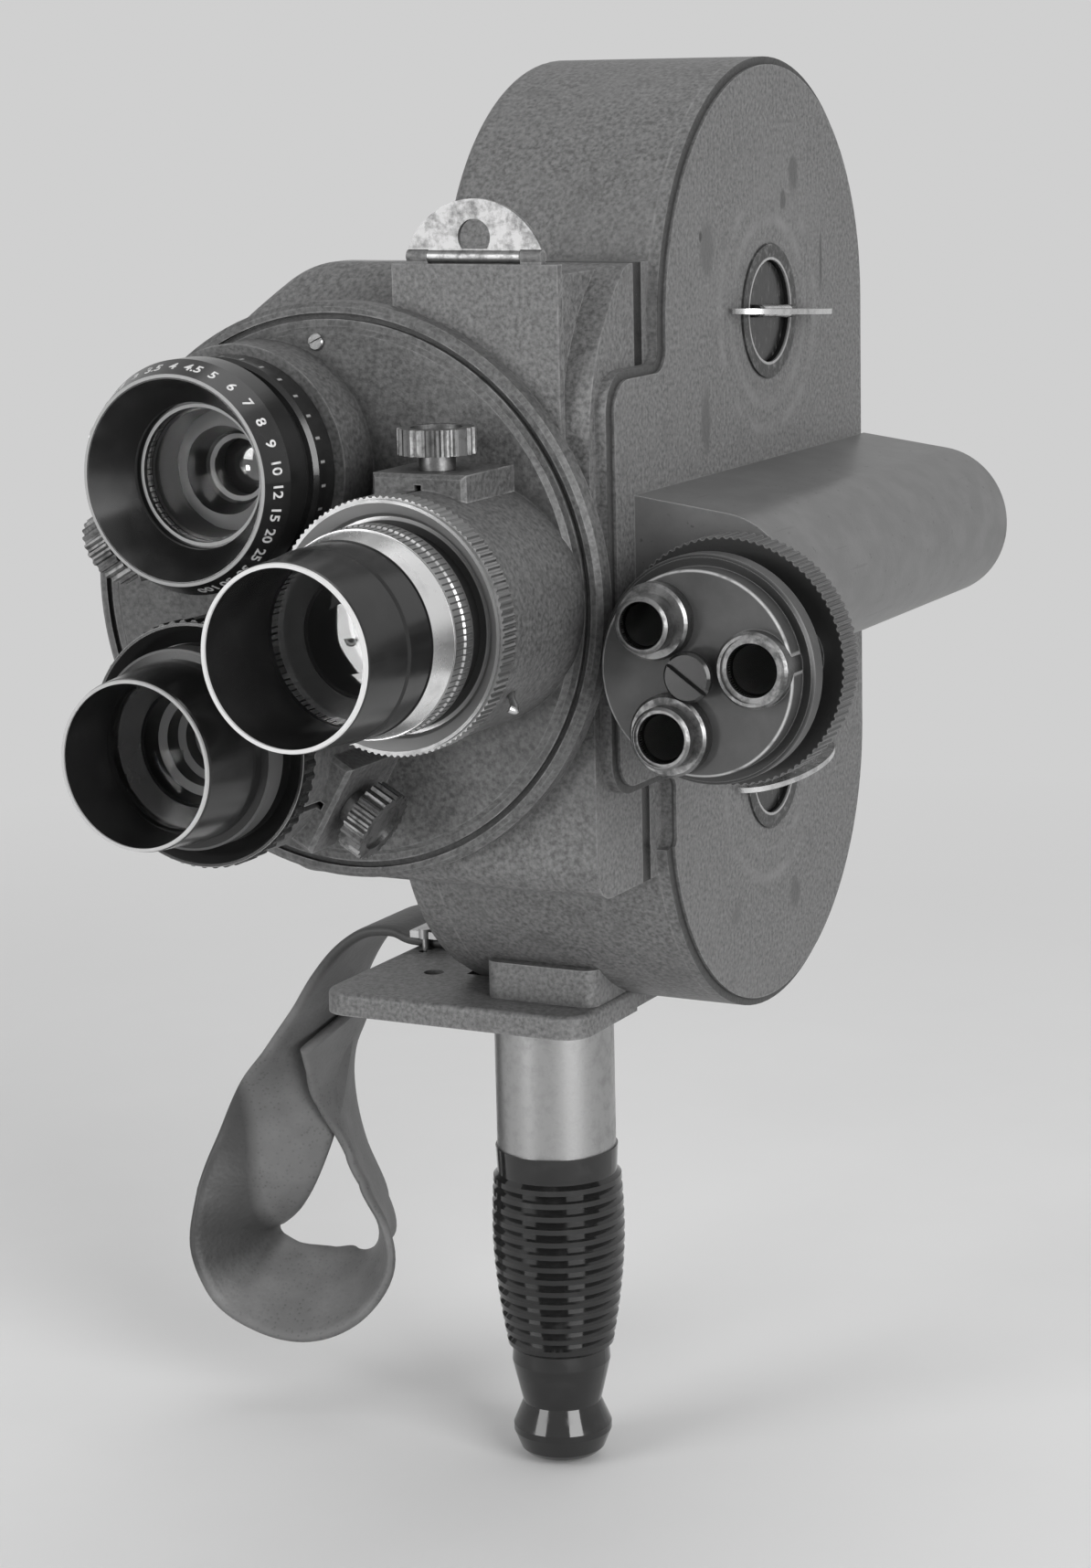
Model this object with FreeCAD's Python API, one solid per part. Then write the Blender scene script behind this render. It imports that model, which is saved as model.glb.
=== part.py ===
import FreeCAD, Part
import os
from math import acos, atan2, cos, hypot, pi, radians, sin, sqrt, tan

# Spring driven movie camera for 35 mm film on 100 ft daylight spools.
# Millimetres. +Z is up, the lenses look along -Y and the film door is on +X.
# The origin is on the underside of the base plate, on the axis of the handle.

V = FreeCAD.Vector
AXIS_X = V(1, 0, 0)
AXIS_Y = V(0, 1, 0)
AXIS_Z = V(0, 0, 1)

# Fits
turning_play = 0.05
passing_gap = 0.3
face_gap = 0.1

# Film and spools
flange_radius = 46.0
flange_thickness = 0.9
spool_core_radius = 16.0
spool_core_wall = 1.0
spool_inner_width = 35.2
flange_hole_radius = 7.0
flange_hole_circle = 30.0
spool_gap = 4.0
spool_play = 2.5
spool_side_play = 0.6
film_offset = 1.4
drive_square = 7.6
spindle_radius = 3.6
spindle_drive_length = 5.0
post_radius = 2.5

# Case
case_wall = 3.5
case_bottom_z = 1.0
far_wall = 2.0
crown_radius = 3.0
gear_room_depth = 2.7
mechanism_plate_thickness = 2.0
plate_seat_width = 2.5
door_gap = 2.2
door_thickness = 3.5
neck_length = 2.0
passage_height = 68.0
passage_side = 1.0
passage_margin = 2.6

# Spring drum
drum_depth = 6.3
drum_wall = 5.0
cover_depth = 8.7
cover_wall = 2.7
cover_rim = 6.0
cover_round = 4.0

# Picture axis
aperture_x = 28.4
aperture_below_centre = 2.0
lens_circle_radius = 29.9

# Front housing
housing_depth = 24.0
housing_wall = 3.0
housing_back_thickness = 3.5
housing_top = 61.4
housing_bottom = 62.0
housing_left_x = -65.0
shoulder_z = 17.0
hip_z = 5.0
chin_x = -20.4
shoulder_top_x = -20.6
shoulder_round = 15.0
side_round = 15.0
chin_round = 8.0
front_round = 6.0
brow_height = 35.0
brow_setback = 17.5
port_radius = 14.0
pivot_boss_radius = 12.0
window_height = 60.0
window_front = 4.0

# Base plate
plate_thickness = 5.0
plate_left_x = -34.0
plate_right_x = 29.0
plate_front_y = -45.0
plate_back_y = 36.0
plate_corner = 6.0
plate_edge = 1.2
seat_thickness = 2.5
pad_length = 28.0
pad_relief = 0.8
saddle_left_x = 2.0
saddle_right_x = 28.0
saddle_front_y = -36.0
saddle_top_z = 13.0
saddle_round = 3.0
mount_hole_x = -18.4
mount_hole_spacing = 43.0
mount_hole_radius = 2.25
pin_hole_x = -29.6
pin_hole_y = -5.7
pin_hole_radius = 1.2
base_screw_radius = 2.0
base_screw_head_radius = 3.6
base_screw_head_height = 2.0
base_screw_x = 15.0
base_screw_spread = 14.0
base_screw_y = 25.0
base_screw_length = 8.0

# Handle
handle_length = 110.5
ferrule_length = 38.0
ferrule_flange_radius = 17.0
ferrule_flange_height = 3.0
ferrule_radius = 13.4
grip_top_radius = 13.8
grip_belly_radius = 15.0
grip_belly_z = 58.0
grip_waist_radius = 8.9
grip_waist_z = 98.6
grip_bulb_radius = 11.2
grip_bulb_z = 104.0
grip_end_radius = 8.6
rib_count = 14
rib_pitch = 2.96
rib_depth = 0.9
rib_top_z = 44.0
bolt_radius = 4.0
bolt_length = 75.0

# Lens turret
turret_radius = 57.4
turret_rim_thickness = 4.7
turret_edge_round = 1.0
turret_groove_radius = 54.6
turret_groove_width = 1.2
turret_groove_depth = 1.2
turret_step_radius = 52.6
turret_step_height = 1.0
boss_radius = 24.0
boss_bore_radius = 20.0
boss_a_length = 28.0
boss_b_length = 11.0
boss_c_length = 26.0
pivot_radius = 4.0
pivot_head_radius = 5.4
pivot_head_height = 2.5

# Lens clamps
clamp_width = 20.0
clamp_depth = 16.0
clamp_height = 7.0
clamp_setback = 4.0
clamp_lift = 20.0
clamp_slot = 1.5
clamp_neck_radius = 3.5
clamp_neck_length = 3.0
clamp_head_radius = 7.5
clamp_head_length = 5.0
clamp_stem_radius = 2.0
clamp_stem_depth = 2.9
clamp_knurl_count = 24

# Lens barrels, measured along each lens from the turret's face or from the ring behind
barrel_fit = 0.1
barrel_rear_gap = 0.9
a_sleeve_radius = 18.3
a_bore_radius = 12.0
a_knurl_radius = 24.5
a_knurl_length = 4.8
a_dish_radius = 20.5
a_dish_rim = 0.8
a_dish_depth = 2.8
a_dark_gap = 2.5
a_scale_radius = 19.6
a_scale_length = 6.2
a_cone_back_radius = 19.4
a_cone_front_radius = 18.4
a_cone_length = 6.3
a_hood_length = 21.6
a_hood_back_radius = 18.2
a_hood_front_radius = 17.3
a_hood_wall = 1.0
a_hood_seam = 8.0
a_knurl_count = 110
a_knurl_depth = 0.35

b_sleeve_radius = 18.9
b_bore_radius = 13.0
b_iris_radius = 22.0
b_iris_length = 7.0
b_collar_radius = 20.2
b_collar_length = 4.3
b_spigot_radius = 16.8
b_spigot_length = 2.0
b_ring_radius = 22.6
b_ring_length = 6.2
b_flare_length = 5.6
b_front_radius = 20.2
b_rim = 0.9
b_inner_radius = 14.2
b_inner_depth = 8.4

c_sleeve_radius = 18.3
c_bore_radius = 12.0
c_dish_radius = 24.4
c_dish_length = 4.0
c_dish_inner_radius = 19.8
c_dish_rim = 0.8
c_dish_depth = 2.4
c_ring_radius = 19.7
c_ring_length = 4.4
c_neck_radius = 17.8
c_neck_length = 2.2
c_hood_length = 14.8
c_hood_front_radius = 16.7
c_hood_wall = 0.9
c_knurl_count = 60

hood_lip_length = 5.0

glass_thickness = 2.4
glass_bulge = 1.6
glass_seat = 1.0
front_wall = 2.0
front_seat_depth = 4.0
front_seat_slope = 2.0

# Film door
door_edge_step = 1.0
door_edge_width = 1.6
door_lip_wall = 2.2
door_lip_depth = 2.0
door_lip_gap = 0.3
notch_width = 5.0
notch_height = 15.0
notch_depth = 3.3
flap_setback = 2.5
flap_half_height = 41.5
flap_round = 8.0
flap_inner_round = 3.0

# Door locks and folding wings
cup_radius = 10.6
cup_wall = 3.2
cup_height = 0.4
cup_floor = 1.4
lock_disc_thickness = 1.1
nose_wall = 1.1
nose_reach = 2.5
wing_half_length = 21.0
wing_reach = 9.8
wing_thickness = 1.1
wing_knuckle_radius = 1.3
wing_ear_length = 2.0
wing_ear_reach = 9.2
wing_pin_radius = 0.6
wing_rise = 0.2
upper_lock_turn = -4.0
lower_lock_turn = 5.0

# Finder on the door
finder_axis_out = 17.4
finder_axis_z = 99.4
finder_radius = 16.3
finder_foot_top_z = 118.3
finder_foot_bottom_z = 74.0
finder_setback = 12.0
finder_bore = 13.0
finder_end_wall = 3.0
finder_flange_radius = 20.0
finder_flange_thickness = 3.6
finder_turret_out = 24.4
finder_turret_z = 88.6
finder_knurl_radius = 24.0
finder_knurl_length = 7.0
finder_neck_radius = 18.5
finder_neck_length = 6.0
finder_ring_radius = 22.0
finder_ring_length = 4.0
finder_face_radius = 19.7
finder_face_length = 4.5
finder_knurl_count = 90
objective_circle = 12.5
objective_angle = 8.0
wide_objective_radius = 7.3
wide_objective_rise = 2.8
wide_objective_bore = 5.1
narrow_objective_radius = 5.5
narrow_objective_rise = 7.8
narrow_objective_bore = 4.5
middle_objective_radius = 6.0
middle_objective_rise = 6.3
middle_objective_bore = 4.8
objective_collar = 1.9
objective_collar_rise = 3.2
objective_groove = 0.5
finder_glass_thickness = 1.3
finder_screw_radius = 4.8
finder_collar_radius = 3.3
finder_screw_height = 1.6
finder_screw_slot = 1.2
finder_stem_radius = 2.5
eyepiece_radius = 11.0
eyepiece_shank_radius = 9.0
eyepiece_length = 7.5
eyepiece_window = 6.0
eyepiece_knurl_count = 40

# Folding sight
bracket_left_x = 9.5
bracket_right_x = 45.5
bracket_top = 1.0
bracket_height = 37.0
bracket_thickness = 2.0
leaf_radius = 15.7
leaf_height = 11.0
leaf_thickness = 1.0
leaf_hole_radius = 3.5
leaf_hole_rise = 3.6
hinge_radius = 1.3
hinge_pin_radius = 0.7
hinge_length = 20.0
hinge_end_length = 4.5

# Gate
gate_thickness = 2.5
gate_side_gap = 0.3
picture_width = 22.0
picture_height = 16.0
film_gap = 0.2
pressure_thickness = 2.4
pressure_length = 40.0
leaf_spring_thickness = 0.4
leaf_spring_bow = 2.2
leaf_spring_width = 8.0
leaf_spring_inset = 3.0
pressure_post_radius = 1.2

# Film sprocket
sprocket_spool_gap = 3.04
sprocket_teeth = 12
sprocket_radius = 9.07
sprocket_waist = 7.6
sprocket_tooth_height = 1.3
sprocket_rim_width = 3.0
sprocket_gate_gap = 0.9
perforation_spacing = 28.2
sprocket_shaft_radius = 2.5
shoe_gap = 0.5
shoe_thickness = 2.0
shoe_half_angle = 26.0
shoe_width = 21.0
shoe_post_radius = 1.6

# Spring motor and gears
arbor_radius = 4.0
barrel_radius = 44.0
barrel_wall = 1.5
barrel_floor = 1.5
barrel_hub_radius = 12.0
mainspring_thickness = 0.9
mainspring_turns = 6
mainspring_inner_radius = 9.0
gear_module = 1.0
gear_thickness = 2.0
gear_backlash = 0.15
barrel_gear_inset = 6.0
idler_teeth = 12
sprocket_gear_teeth = 16
idler_stud_radius = 2.0
tooth_addendum = 0.75
tooth_dedendum = 1.15

# Winding key
key_hub_radius = 9.0
key_hub_length = 10.0
key_length = 56.0
key_width = 13.0
key_thickness = 5.0

# Shutter
shutter_radius = 43.0
shutter_thickness = 1.0
shutter_opening = 170.0
shutter_hub_radius = 7.0
shutter_front_gap = 8.5
shaft_radius = 2.0

# Dials and release lever on the far side
footage_dial_radius = 14.0
footage_dial_y = -18.0
footage_dial_above = 46.0
speed_dial_radius = 11.0
speed_dial_y = 22.0
speed_dial_above = 26.0
dial_thickness = 3.0
dial_stem_radius = 2.0
dial_knurl_count = 36
lever_length = 17.0
lever_width = 7.0
lever_thickness = 2.5
lever_setback = 10.0
lever_stem_radius = 2.0

# Hand strap
strap_width = 26.0
strap_thickness = 2.5
clamp_bar_x = -30.0
clamp_bar_width = 7.0
clamp_bar_thickness = 1.6
clamp_bar_length = 30.0
rivet_radius = 1.6
strap_y = 10.0

# Places worked out from the sizes above
film_centre_x = aperture_x + film_offset
spool_width = spool_inner_width + 2 * flange_thickness
spool_left_x = film_centre_x - spool_width / 2
spool_right_x = film_centre_x + spool_width / 2
plate_face_x = spool_left_x - spool_side_play
plate_seat_x = plate_face_x - mechanism_plate_thickness
gear_room_x = plate_seat_x - gear_room_depth
case_far_x = gear_room_x - far_wall
door_seat_x = spool_right_x + door_gap
door_face_x = door_seat_x + door_thickness
room_radius = flange_radius + spool_play
end_radius = room_radius + case_wall
half_straight = flange_radius + spool_gap / 2
case_z = case_bottom_z + end_radius + half_straight
low_z = case_z - half_straight
high_z = case_z + half_straight
drum_face_x = case_far_x - drum_depth
cover_face_x = drum_face_x - cover_depth
sprocket_tip_radius = sprocket_radius + sprocket_tooth_height
sprocket_reach = flange_radius + sprocket_tip_radius + sprocket_spool_gap
sprocket_y = -sqrt(sprocket_reach ** 2 - half_straight ** 2)
pressure_stack = gate_thickness + film_gap + pressure_thickness + leaf_spring_bow + leaf_spring_thickness
neck_y = -max(end_radius + neck_length, sprocket_gate_gap + pressure_stack + sprocket_tip_radius - sprocket_y)
housing_back_y = neck_y - housing_back_thickness
housing_front_y = neck_y - housing_depth
housing_top_z = case_z + housing_top
housing_bottom_z = case_z - housing_bottom
aperture_z = case_z - aperture_below_centre
turret_x = aperture_x - lens_circle_radius
turret_z = aperture_z
bracket_front_y = housing_front_y - bracket_thickness
turret_back_y = bracket_front_y - passing_gap
turret_rim_y = turret_back_y - turret_rim_thickness
turret_face_y = turret_rim_y - turret_step_height
finder_x = door_face_x + finder_axis_out
finder_turret_x = door_face_x + finder_turret_out
sprocket_z = case_z
barrel_teeth = round(2 * (flange_radius - barrel_gear_inset) / gear_module)
finder_front_y = neck_y - finder_setback
finder_back_y = end_radius
flap_front_y = housing_front_y + flap_setback


# Simple forms


def box(xs, ys, zs):
    size = [high - low for low, high in (xs, ys, zs)]
    return Part.makeBox(*size, V(xs[0], ys[0], zs[0]))


def rod_x(y, z, radius, x0, x1):
    return Part.makeCylinder(radius, x1 - x0, V(x0, y, z), AXIS_X)


def rod_y(x, z, radius, y0, y1):
    return Part.makeCylinder(radius, y1 - y0, V(x, y0, z), AXIS_Y)


def rod_z(x, y, radius, z0, z1):
    return Part.makeCylinder(radius, z1 - z0, V(x, y, z0), AXIS_Z)


def fused(*shapes):
    return shapes[0].fuse(list(shapes[1:])).removeSplitter()


def turned_y(axis, profile):
    """Revolve (radius, y) points about the line along Y through axis = (x, z)."""
    x, z = axis
    points = [V(x + radius, y, z) for radius, y in profile]
    face = Part.Face(Part.makePolygon(points + points[:1]))
    return face.revolve(V(x, 0, z), AXIS_Y, 360)


def turned_x(axis, profile):
    """Revolve (radius, x) points about the line along X through axis = (y, z)."""
    y, z = axis
    points = [V(x, y, z + radius) for radius, x in profile]
    face = Part.Face(Part.makePolygon(points + points[:1]))
    return face.revolve(V(0, y, z), AXIS_X, 360)


def turned_z(axis, profile):
    """Revolve (radius, z) points about the line along Z through axis = (x, y)."""
    x, y = axis
    points = [V(x + radius, y, z) for radius, z in profile]
    face = Part.Face(Part.makePolygon(points + points[:1]))
    return face.revolve(V(x, y, 0), AXIS_Z, 360)


def rounded_wire(corners, place):
    """Closed outline through (u, v, radius) corners, with an arc at each corner that has a radius."""
    ends = []
    for i, (u, v, radius) in enumerate(corners):
        back_u, back_v = corners[i - 1][:2]
        next_u, next_v = corners[(i + 1) % len(corners)][:2]
        back = V(back_u - u, back_v - v, 0).normalize()
        ahead = V(next_u - u, next_v - v, 0).normalize()
        corner = V(u, v, 0)
        if radius == 0:
            ends.append((corner, None, corner))
            continue
        half = acos(back.dot(ahead)) / 2
        reach = radius / tan(half)
        middle = corner + (back + ahead).normalize() * (radius / sin(half) - radius)
        ends.append((corner + back * reach, middle, corner + ahead * reach))
    edges = []
    for i, (start, middle, end) in enumerate(ends):
        before = ends[i - 1][2]
        if (start - before).Length > 1e-6:
            edges.append(Part.makeLine(place(before), place(start)))
        if middle is not None:
            edges.append(Part.Arc(place(start), place(middle), place(end)).toShape())
    return Part.Wire(edges)


def plate_y(corners, y0, y1):
    """Plate with its outline in X and Z and its thickness along Y."""
    wire = rounded_wire(corners, lambda p: V(p.x, y0, p.y))
    return Part.Face(wire).extrude(V(0, y1 - y0, 0))


def plate_z(corners, z0, z1):
    """Plate with its outline in X and Y and its thickness along Z."""
    wire = rounded_wire(corners, lambda p: V(p.x, p.y, z0))
    return Part.Face(wire).extrude(V(0, 0, z1 - z0))


def inset_corners(corners, inset):
    """Convex outline taken in by the same distance on every side."""
    moved = []
    for i, (u, v, radius) in enumerate(corners):
        back_u, back_v = corners[i - 1][:2]
        next_u, next_v = corners[(i + 1) % len(corners)][:2]
        back = V(back_u - u, back_v - v, 0).normalize()
        ahead = V(next_u - u, next_v - v, 0).normalize()
        half = acos(back.dot(ahead)) / 2
        corner = V(u, v, 0) + (back + ahead).normalize() * (inset / sin(half))
        moved.append((corner.x, corner.y, max(radius - inset, 0)))
    return moved


def rectangle(u0, u1, v0, v1, radius):
    return [(u0, v0, radius), (u1, v0, radius), (u1, v1, radius), (u0, v1, radius)]


def toothed_points(teeth, tip, root, tip_share, root_share, phase=0.0):
    """Trapezoid teeth; the shares are of one pitch, and the first tooth is centred at phase."""
    step = 2 * pi / teeth
    points = []
    for i in range(teeth):
        centre = phase + i * step
        for radius, share in ((root, -root_share), (tip, -tip_share), (tip, tip_share), (root, root_share)):
            angle = centre + share * step / 2
            points.append((radius * cos(angle), radius * sin(angle)))
    return points


def toothed_x(axis, points, x0, x1):
    y, z = axis
    corners = [V(x0, y + u, z + v) for u, v in points]
    return Part.Face(Part.makePolygon(corners + corners[:1])).extrude(V(x1 - x0, 0, 0))


def toothed_y(axis, points, y0, y1):
    x, z = axis
    corners = [V(x + u, y0, z + v) for u, v in points]
    return Part.Face(Part.makePolygon(corners + corners[:1])).extrude(V(0, y1 - y0, 0))


def knurl_points(count, radius, depth=0.4):
    return toothed_points(count, radius, radius - depth, 0.25, 0.75)


def turned_about(shape, point, axis, degrees):
    copy = shape.copy()
    copy.rotate(point, axis, degrees)
    return copy


# Case


def stadium(radius, x0, x1):
    """Round-ended block: two half circles about the spool centres, joined by straight sides."""
    wire = Part.Wire([
        Part.Arc(V(x0, -radius, low_z), V(x0, 0, low_z - radius), V(x0, radius, low_z)).toShape(),
        Part.makeLine(V(x0, radius, low_z), V(x0, radius, high_z)),
        Part.Arc(V(x0, radius, high_z), V(x0, 0, high_z + radius), V(x0, -radius, high_z)).toShape(),
        Part.makeLine(V(x0, -radius, high_z), V(x0, -radius, low_z)),
    ])
    return Part.Face(wire).extrude(V(x1 - x0, 0, 0))


def seat_cut():
    """What the base plate's seat takes off the bottom of the case and of the drum."""
    ys = (plate_front_y, plate_back_y)
    return box((plate_left_x, plate_right_x), ys, (case_bottom_z - 1, seat_thickness))


def base_screw_places():
    xs = (base_screw_x - base_screw_spread / 2, base_screw_x + base_screw_spread / 2)
    return [(x, y) for x in xs for y in (-base_screw_y, base_screw_y)]


def main_casting():
    body = stadium(end_radius, case_far_x, door_seat_x)
    crown = [edge for edge in body.Edges if edge.BoundBox.XMax < case_far_x + 0.01]
    body = body.makeFillet(crown_radius, crown)
    drum = rod_x(0, low_z, end_radius, drum_face_x, case_far_x + crown_radius + far_wall)
    neck = box((case_far_x, door_seat_x), (neck_y, -room_radius), (housing_bottom_z, housing_top_z))
    body = body.fuse([drum, neck])
    hollows = [
        stadium(room_radius, plate_seat_x, door_seat_x),
        stadium(room_radius - plate_seat_width, gear_room_x, plate_seat_x),
        rod_x(0, low_z, end_radius - drum_wall, drum_face_x, gear_room_x),
        box((plate_face_x + passage_side, door_seat_x - passage_margin), (neck_y, -room_radius + 4),
            (case_z - passage_height / 2, case_z + passage_height / 2)),
        seat_cut(),
        rod_x(footage_dial_y, case_z + footage_dial_above, dial_stem_radius + turning_play,
              case_far_x, gear_room_x),
        rod_x(speed_dial_y, case_z + speed_dial_above, dial_stem_radius + turning_play,
              case_far_x, gear_room_x),
    ]
    for x, y in base_screw_places():
        hollows.append(rod_z(x, y, base_screw_radius, 0, base_screw_length + face_gap))
    return body.cut(hollows).removeSplitter()


def mechanism_plate():
    plate = stadium(room_radius - face_gap, plate_seat_x, plate_face_x)
    post_end = door_seat_x - face_gap
    posts = [rod_x(0, z, post_radius, plate_face_x, post_end) for z in (low_z, high_z)]
    stud = rod_x(*idler_centre(), idler_stud_radius, gear_room_x + passing_gap, plate_seat_x)
    body = fused(plate, stud, *posts, *pressure_posts())
    holes = [
        rod_x(0, low_z, arbor_radius + turning_play, plate_seat_x, arbor_end_x() + face_gap),
        rod_x(sprocket_y, sprocket_z, sprocket_shaft_radius + turning_play, plate_seat_x, plate_face_x),
    ]
    return body.cut(holes)


def spring_cover():
    profile = [
        (0, cover_face_x), (end_radius - cover_round, cover_face_x),
        (end_radius - cover_round * 0.3, cover_face_x + cover_round * 0.3),
        (end_radius, cover_face_x + cover_round), (end_radius, drum_face_x),
        (end_radius - cover_rim, drum_face_x), (end_radius - cover_rim, cover_face_x + cover_wall),
        (0, cover_face_x + cover_wall),
    ]
    body = turned_x((0, low_z), profile)
    collar = rod_x(0, low_z, key_hub_radius, cover_face_x - cover_wall, cover_face_x)
    hole = rod_x(0, low_z, arbor_radius + turning_play, cover_face_x - cover_wall, cover_face_x + cover_wall)
    return fused(body, collar).cut([hole, seat_cut()])


# Front housing


def housing_outline():
    """Corners of the front housing seen from the front."""
    shoulder = case_z + shoulder_z
    return [
        (door_seat_x, housing_bottom_z, 0), (door_seat_x, housing_top_z, 0),
        (shoulder_top_x, housing_top_z, shoulder_round), (housing_left_x, shoulder, side_round),
        (housing_left_x, case_z + hip_z, side_round), (chin_x, housing_bottom_z, chin_round),
    ]


def brow_block(inset=0.0):
    """Side profile of the front housing, whose top leans back in one long arc."""
    radius = (brow_height ** 2 + brow_setback ** 2) / (2 * brow_setback) - inset
    start_z = housing_top_z - brow_height
    top = housing_top_z - inset
    middle_y = housing_front_y + inset + radius
    rise = top - start_z
    turn = atan2(rise, sqrt(radius ** 2 - rise ** 2))

    def at(angle):
        return V(housing_left_x, middle_y - radius * cos(angle), start_z + radius * sin(angle))

    left = housing_left_x
    low = housing_bottom_z + inset
    front_low = V(left, housing_front_y + inset, low)
    back_high = V(left, housing_back_y, top)
    back_low = V(left, housing_back_y, low)
    wire = Part.Wire([
        Part.makeLine(back_low, front_low), Part.makeLine(front_low, at(0)),
        Part.Arc(at(0), at(turn / 2), at(turn)).toShape(),
        Part.makeLine(at(turn), back_high), Part.makeLine(back_high, back_low),
    ])
    return Part.Face(wire).extrude(V(door_seat_x - left, 0, 0))


def brow_y(z):
    """Where the front surface of the housing lies at a height z."""
    radius = (brow_height ** 2 + brow_setback ** 2) / (2 * brow_setback)
    rise = max(0.0, z - housing_top_z + brow_height)
    return housing_front_y + radius - sqrt(radius ** 2 - rise ** 2)


def front_edges(body):
    """The outer edges of the housing's front, apart from the one beside the door."""
    picked = []
    for edge in body.Edges:
        first, last = edge.ParameterRange
        point = edge.valueAt((first + last) / 2)
        on_front = abs(point.y - brow_y(point.z)) < 0.01
        across = abs(point.z - housing_top_z + brow_height) < 0.01 and edge.BoundBox.ZLength < 0.01
        beside_door = edge.BoundBox.XMin > door_seat_x - 0.01
        if on_front and not across and not beside_door:
            picked.append(edge)
    return picked


def front_housing():
    outline = housing_outline()
    body = plate_y(outline, housing_front_y, housing_back_y).common(brow_block())
    body = body.makeFillet(front_round, front_edges(body))
    inner = plate_y(inset_corners(outline, housing_wall), housing_front_y, housing_back_y)
    inner = inner.common(brow_block(housing_wall))
    boss_y = turret_back_y + face_gap
    boss = rod_y(turret_x, turret_z, pivot_boss_radius, boss_y, housing_front_y + housing_wall)
    window_y = (housing_front_y + window_front, housing_back_y)
    window_z = (case_z - window_height / 2, case_z + window_height / 2)
    port_y = (housing_front_y - face_gap, housing_front_y + housing_wall)
    tools = [
        rod_y(turret_x, turret_z, pivot_radius, boss_y, housing_front_y + housing_wall),
        rod_y(aperture_x, aperture_z, port_radius, *port_y),
        box((door_seat_x - housing_wall - face_gap, door_seat_x), window_y, window_z),
        rod_x(lever_y(), lever_z(), lever_stem_radius + turning_play,
              housing_left_x, housing_left_x + housing_wall + face_gap),
    ]
    return body.cut([inner]).fuse([boss]).removeSplitter().cut(tools)


def housing_back_plate():
    body = plate_y(housing_outline(), housing_back_y, neck_y)
    hole = rod_y(turret_x, turret_z, shaft_radius + turning_play, housing_back_y, neck_y)
    return body.cut([hole, picture_window(housing_back_y, neck_y, 1.0)])


def picture_window(y0, y1, margin=0.0):
    half_width = picture_width / 2 + margin
    half_height = picture_height / 2 + margin
    return box((aperture_x - half_width, aperture_x + half_width), (y0, y1),
               (aperture_z - half_height, aperture_z + half_height))


# Base plate and handle


def base_plate():
    outline = rectangle(plate_left_x, plate_right_x, plate_front_y, plate_back_y, plate_corner)
    plate = plate_z(outline, 0, plate_thickness)
    top = [edge for edge in plate.Edges if edge.BoundBox.ZMin > plate_thickness - 0.01]
    plate = plate.makeFillet(plate_edge, top)
    saddle = box((saddle_left_x, saddle_right_x), (saddle_front_y, -saddle_front_y - plate_edge),
                 (plate_thickness / 2, saddle_top_z))
    upright = [edge for edge in saddle.Edges if edge.BoundBox.ZLength > 1]
    saddle = saddle.makeFillet(saddle_round, upright)
    body = fused(plate, saddle)
    case = stadium(end_radius, case_far_x, door_seat_x)
    drum = rod_x(0, low_z, end_radius, cover_face_x, case_far_x)
    below = box((plate_left_x, plate_right_x), (plate_front_y, plate_back_y), (-1, seat_thickness))
    tools = [case.cut(below), drum.cut(below)]
    pad_back = plate_front_y + pad_length
    tools.append(box((plate_left_x, plate_right_x), (pad_back, plate_back_y), (0, pad_relief)))
    for y in mount_hole_places():
        tools.append(rod_z(mount_hole_x, y, mount_hole_radius, 0, plate_thickness))
    tools.append(rod_z(pin_hole_x, pin_hole_y, pin_hole_radius, 0, plate_thickness))
    tools.append(rod_z(0, 0, bolt_radius, 0, seat_thickness))
    for side in (-1, 1):
        y = strap_y + side * (strap_width / 2 + clamp_bar_length / 2) / 2
        tools.append(rod_z(clamp_bar_x, y, rivet_radius / 2, plate_thickness / 2, plate_thickness))
    for x, y in base_screw_places():
        tools.append(rod_z(x, y, base_screw_radius, 0, base_screw_length))
        tools.append(rod_z(x, y, base_screw_head_radius, 0, base_screw_head_height + pad_relief))
    return body.cut(tools)


def mount_hole_places():
    return (-mount_hole_spacing / 2, mount_hole_spacing / 2)


def base_screws():
    screws = []
    for x, y in base_screw_places():
        low = pad_relief + face_gap
        head = rod_z(x, y, base_screw_head_radius - face_gap, low, base_screw_head_height + pad_relief)
        shank = rod_z(x, y, base_screw_radius, low, base_screw_length)
        screws.append(fused(head, shank))
    return Part.makeCompound(screws)


def handle_ferrule():
    """Metal top of the handle, turned in one with its bolt."""
    top = pad_relief
    profile = [
        (0, seat_thickness), (bolt_radius, seat_thickness), (bolt_radius, top),
        (ferrule_flange_radius, top), (ferrule_flange_radius, top - ferrule_flange_height),
        (ferrule_radius, top - 2 * ferrule_flange_height), (ferrule_radius, -ferrule_length),
        (bolt_radius, -ferrule_length), (bolt_radius, -bolt_length), (0, -bolt_length),
    ]
    return turned_z((0, 0), profile)


def grip_radius(depth):
    """Radius of the grip's smooth barrel form at a depth below the ferrule's top."""
    if depth < grip_belly_z:
        share = (grip_belly_z - depth) / (grip_belly_z - ferrule_length)
        return grip_belly_radius - (grip_belly_radius - grip_top_radius) * share ** 2
    share = (depth - grip_belly_z) / (grip_waist_z - grip_belly_z)
    return grip_belly_radius - (grip_belly_radius - grip_waist_radius) * share ** 1.7


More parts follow.
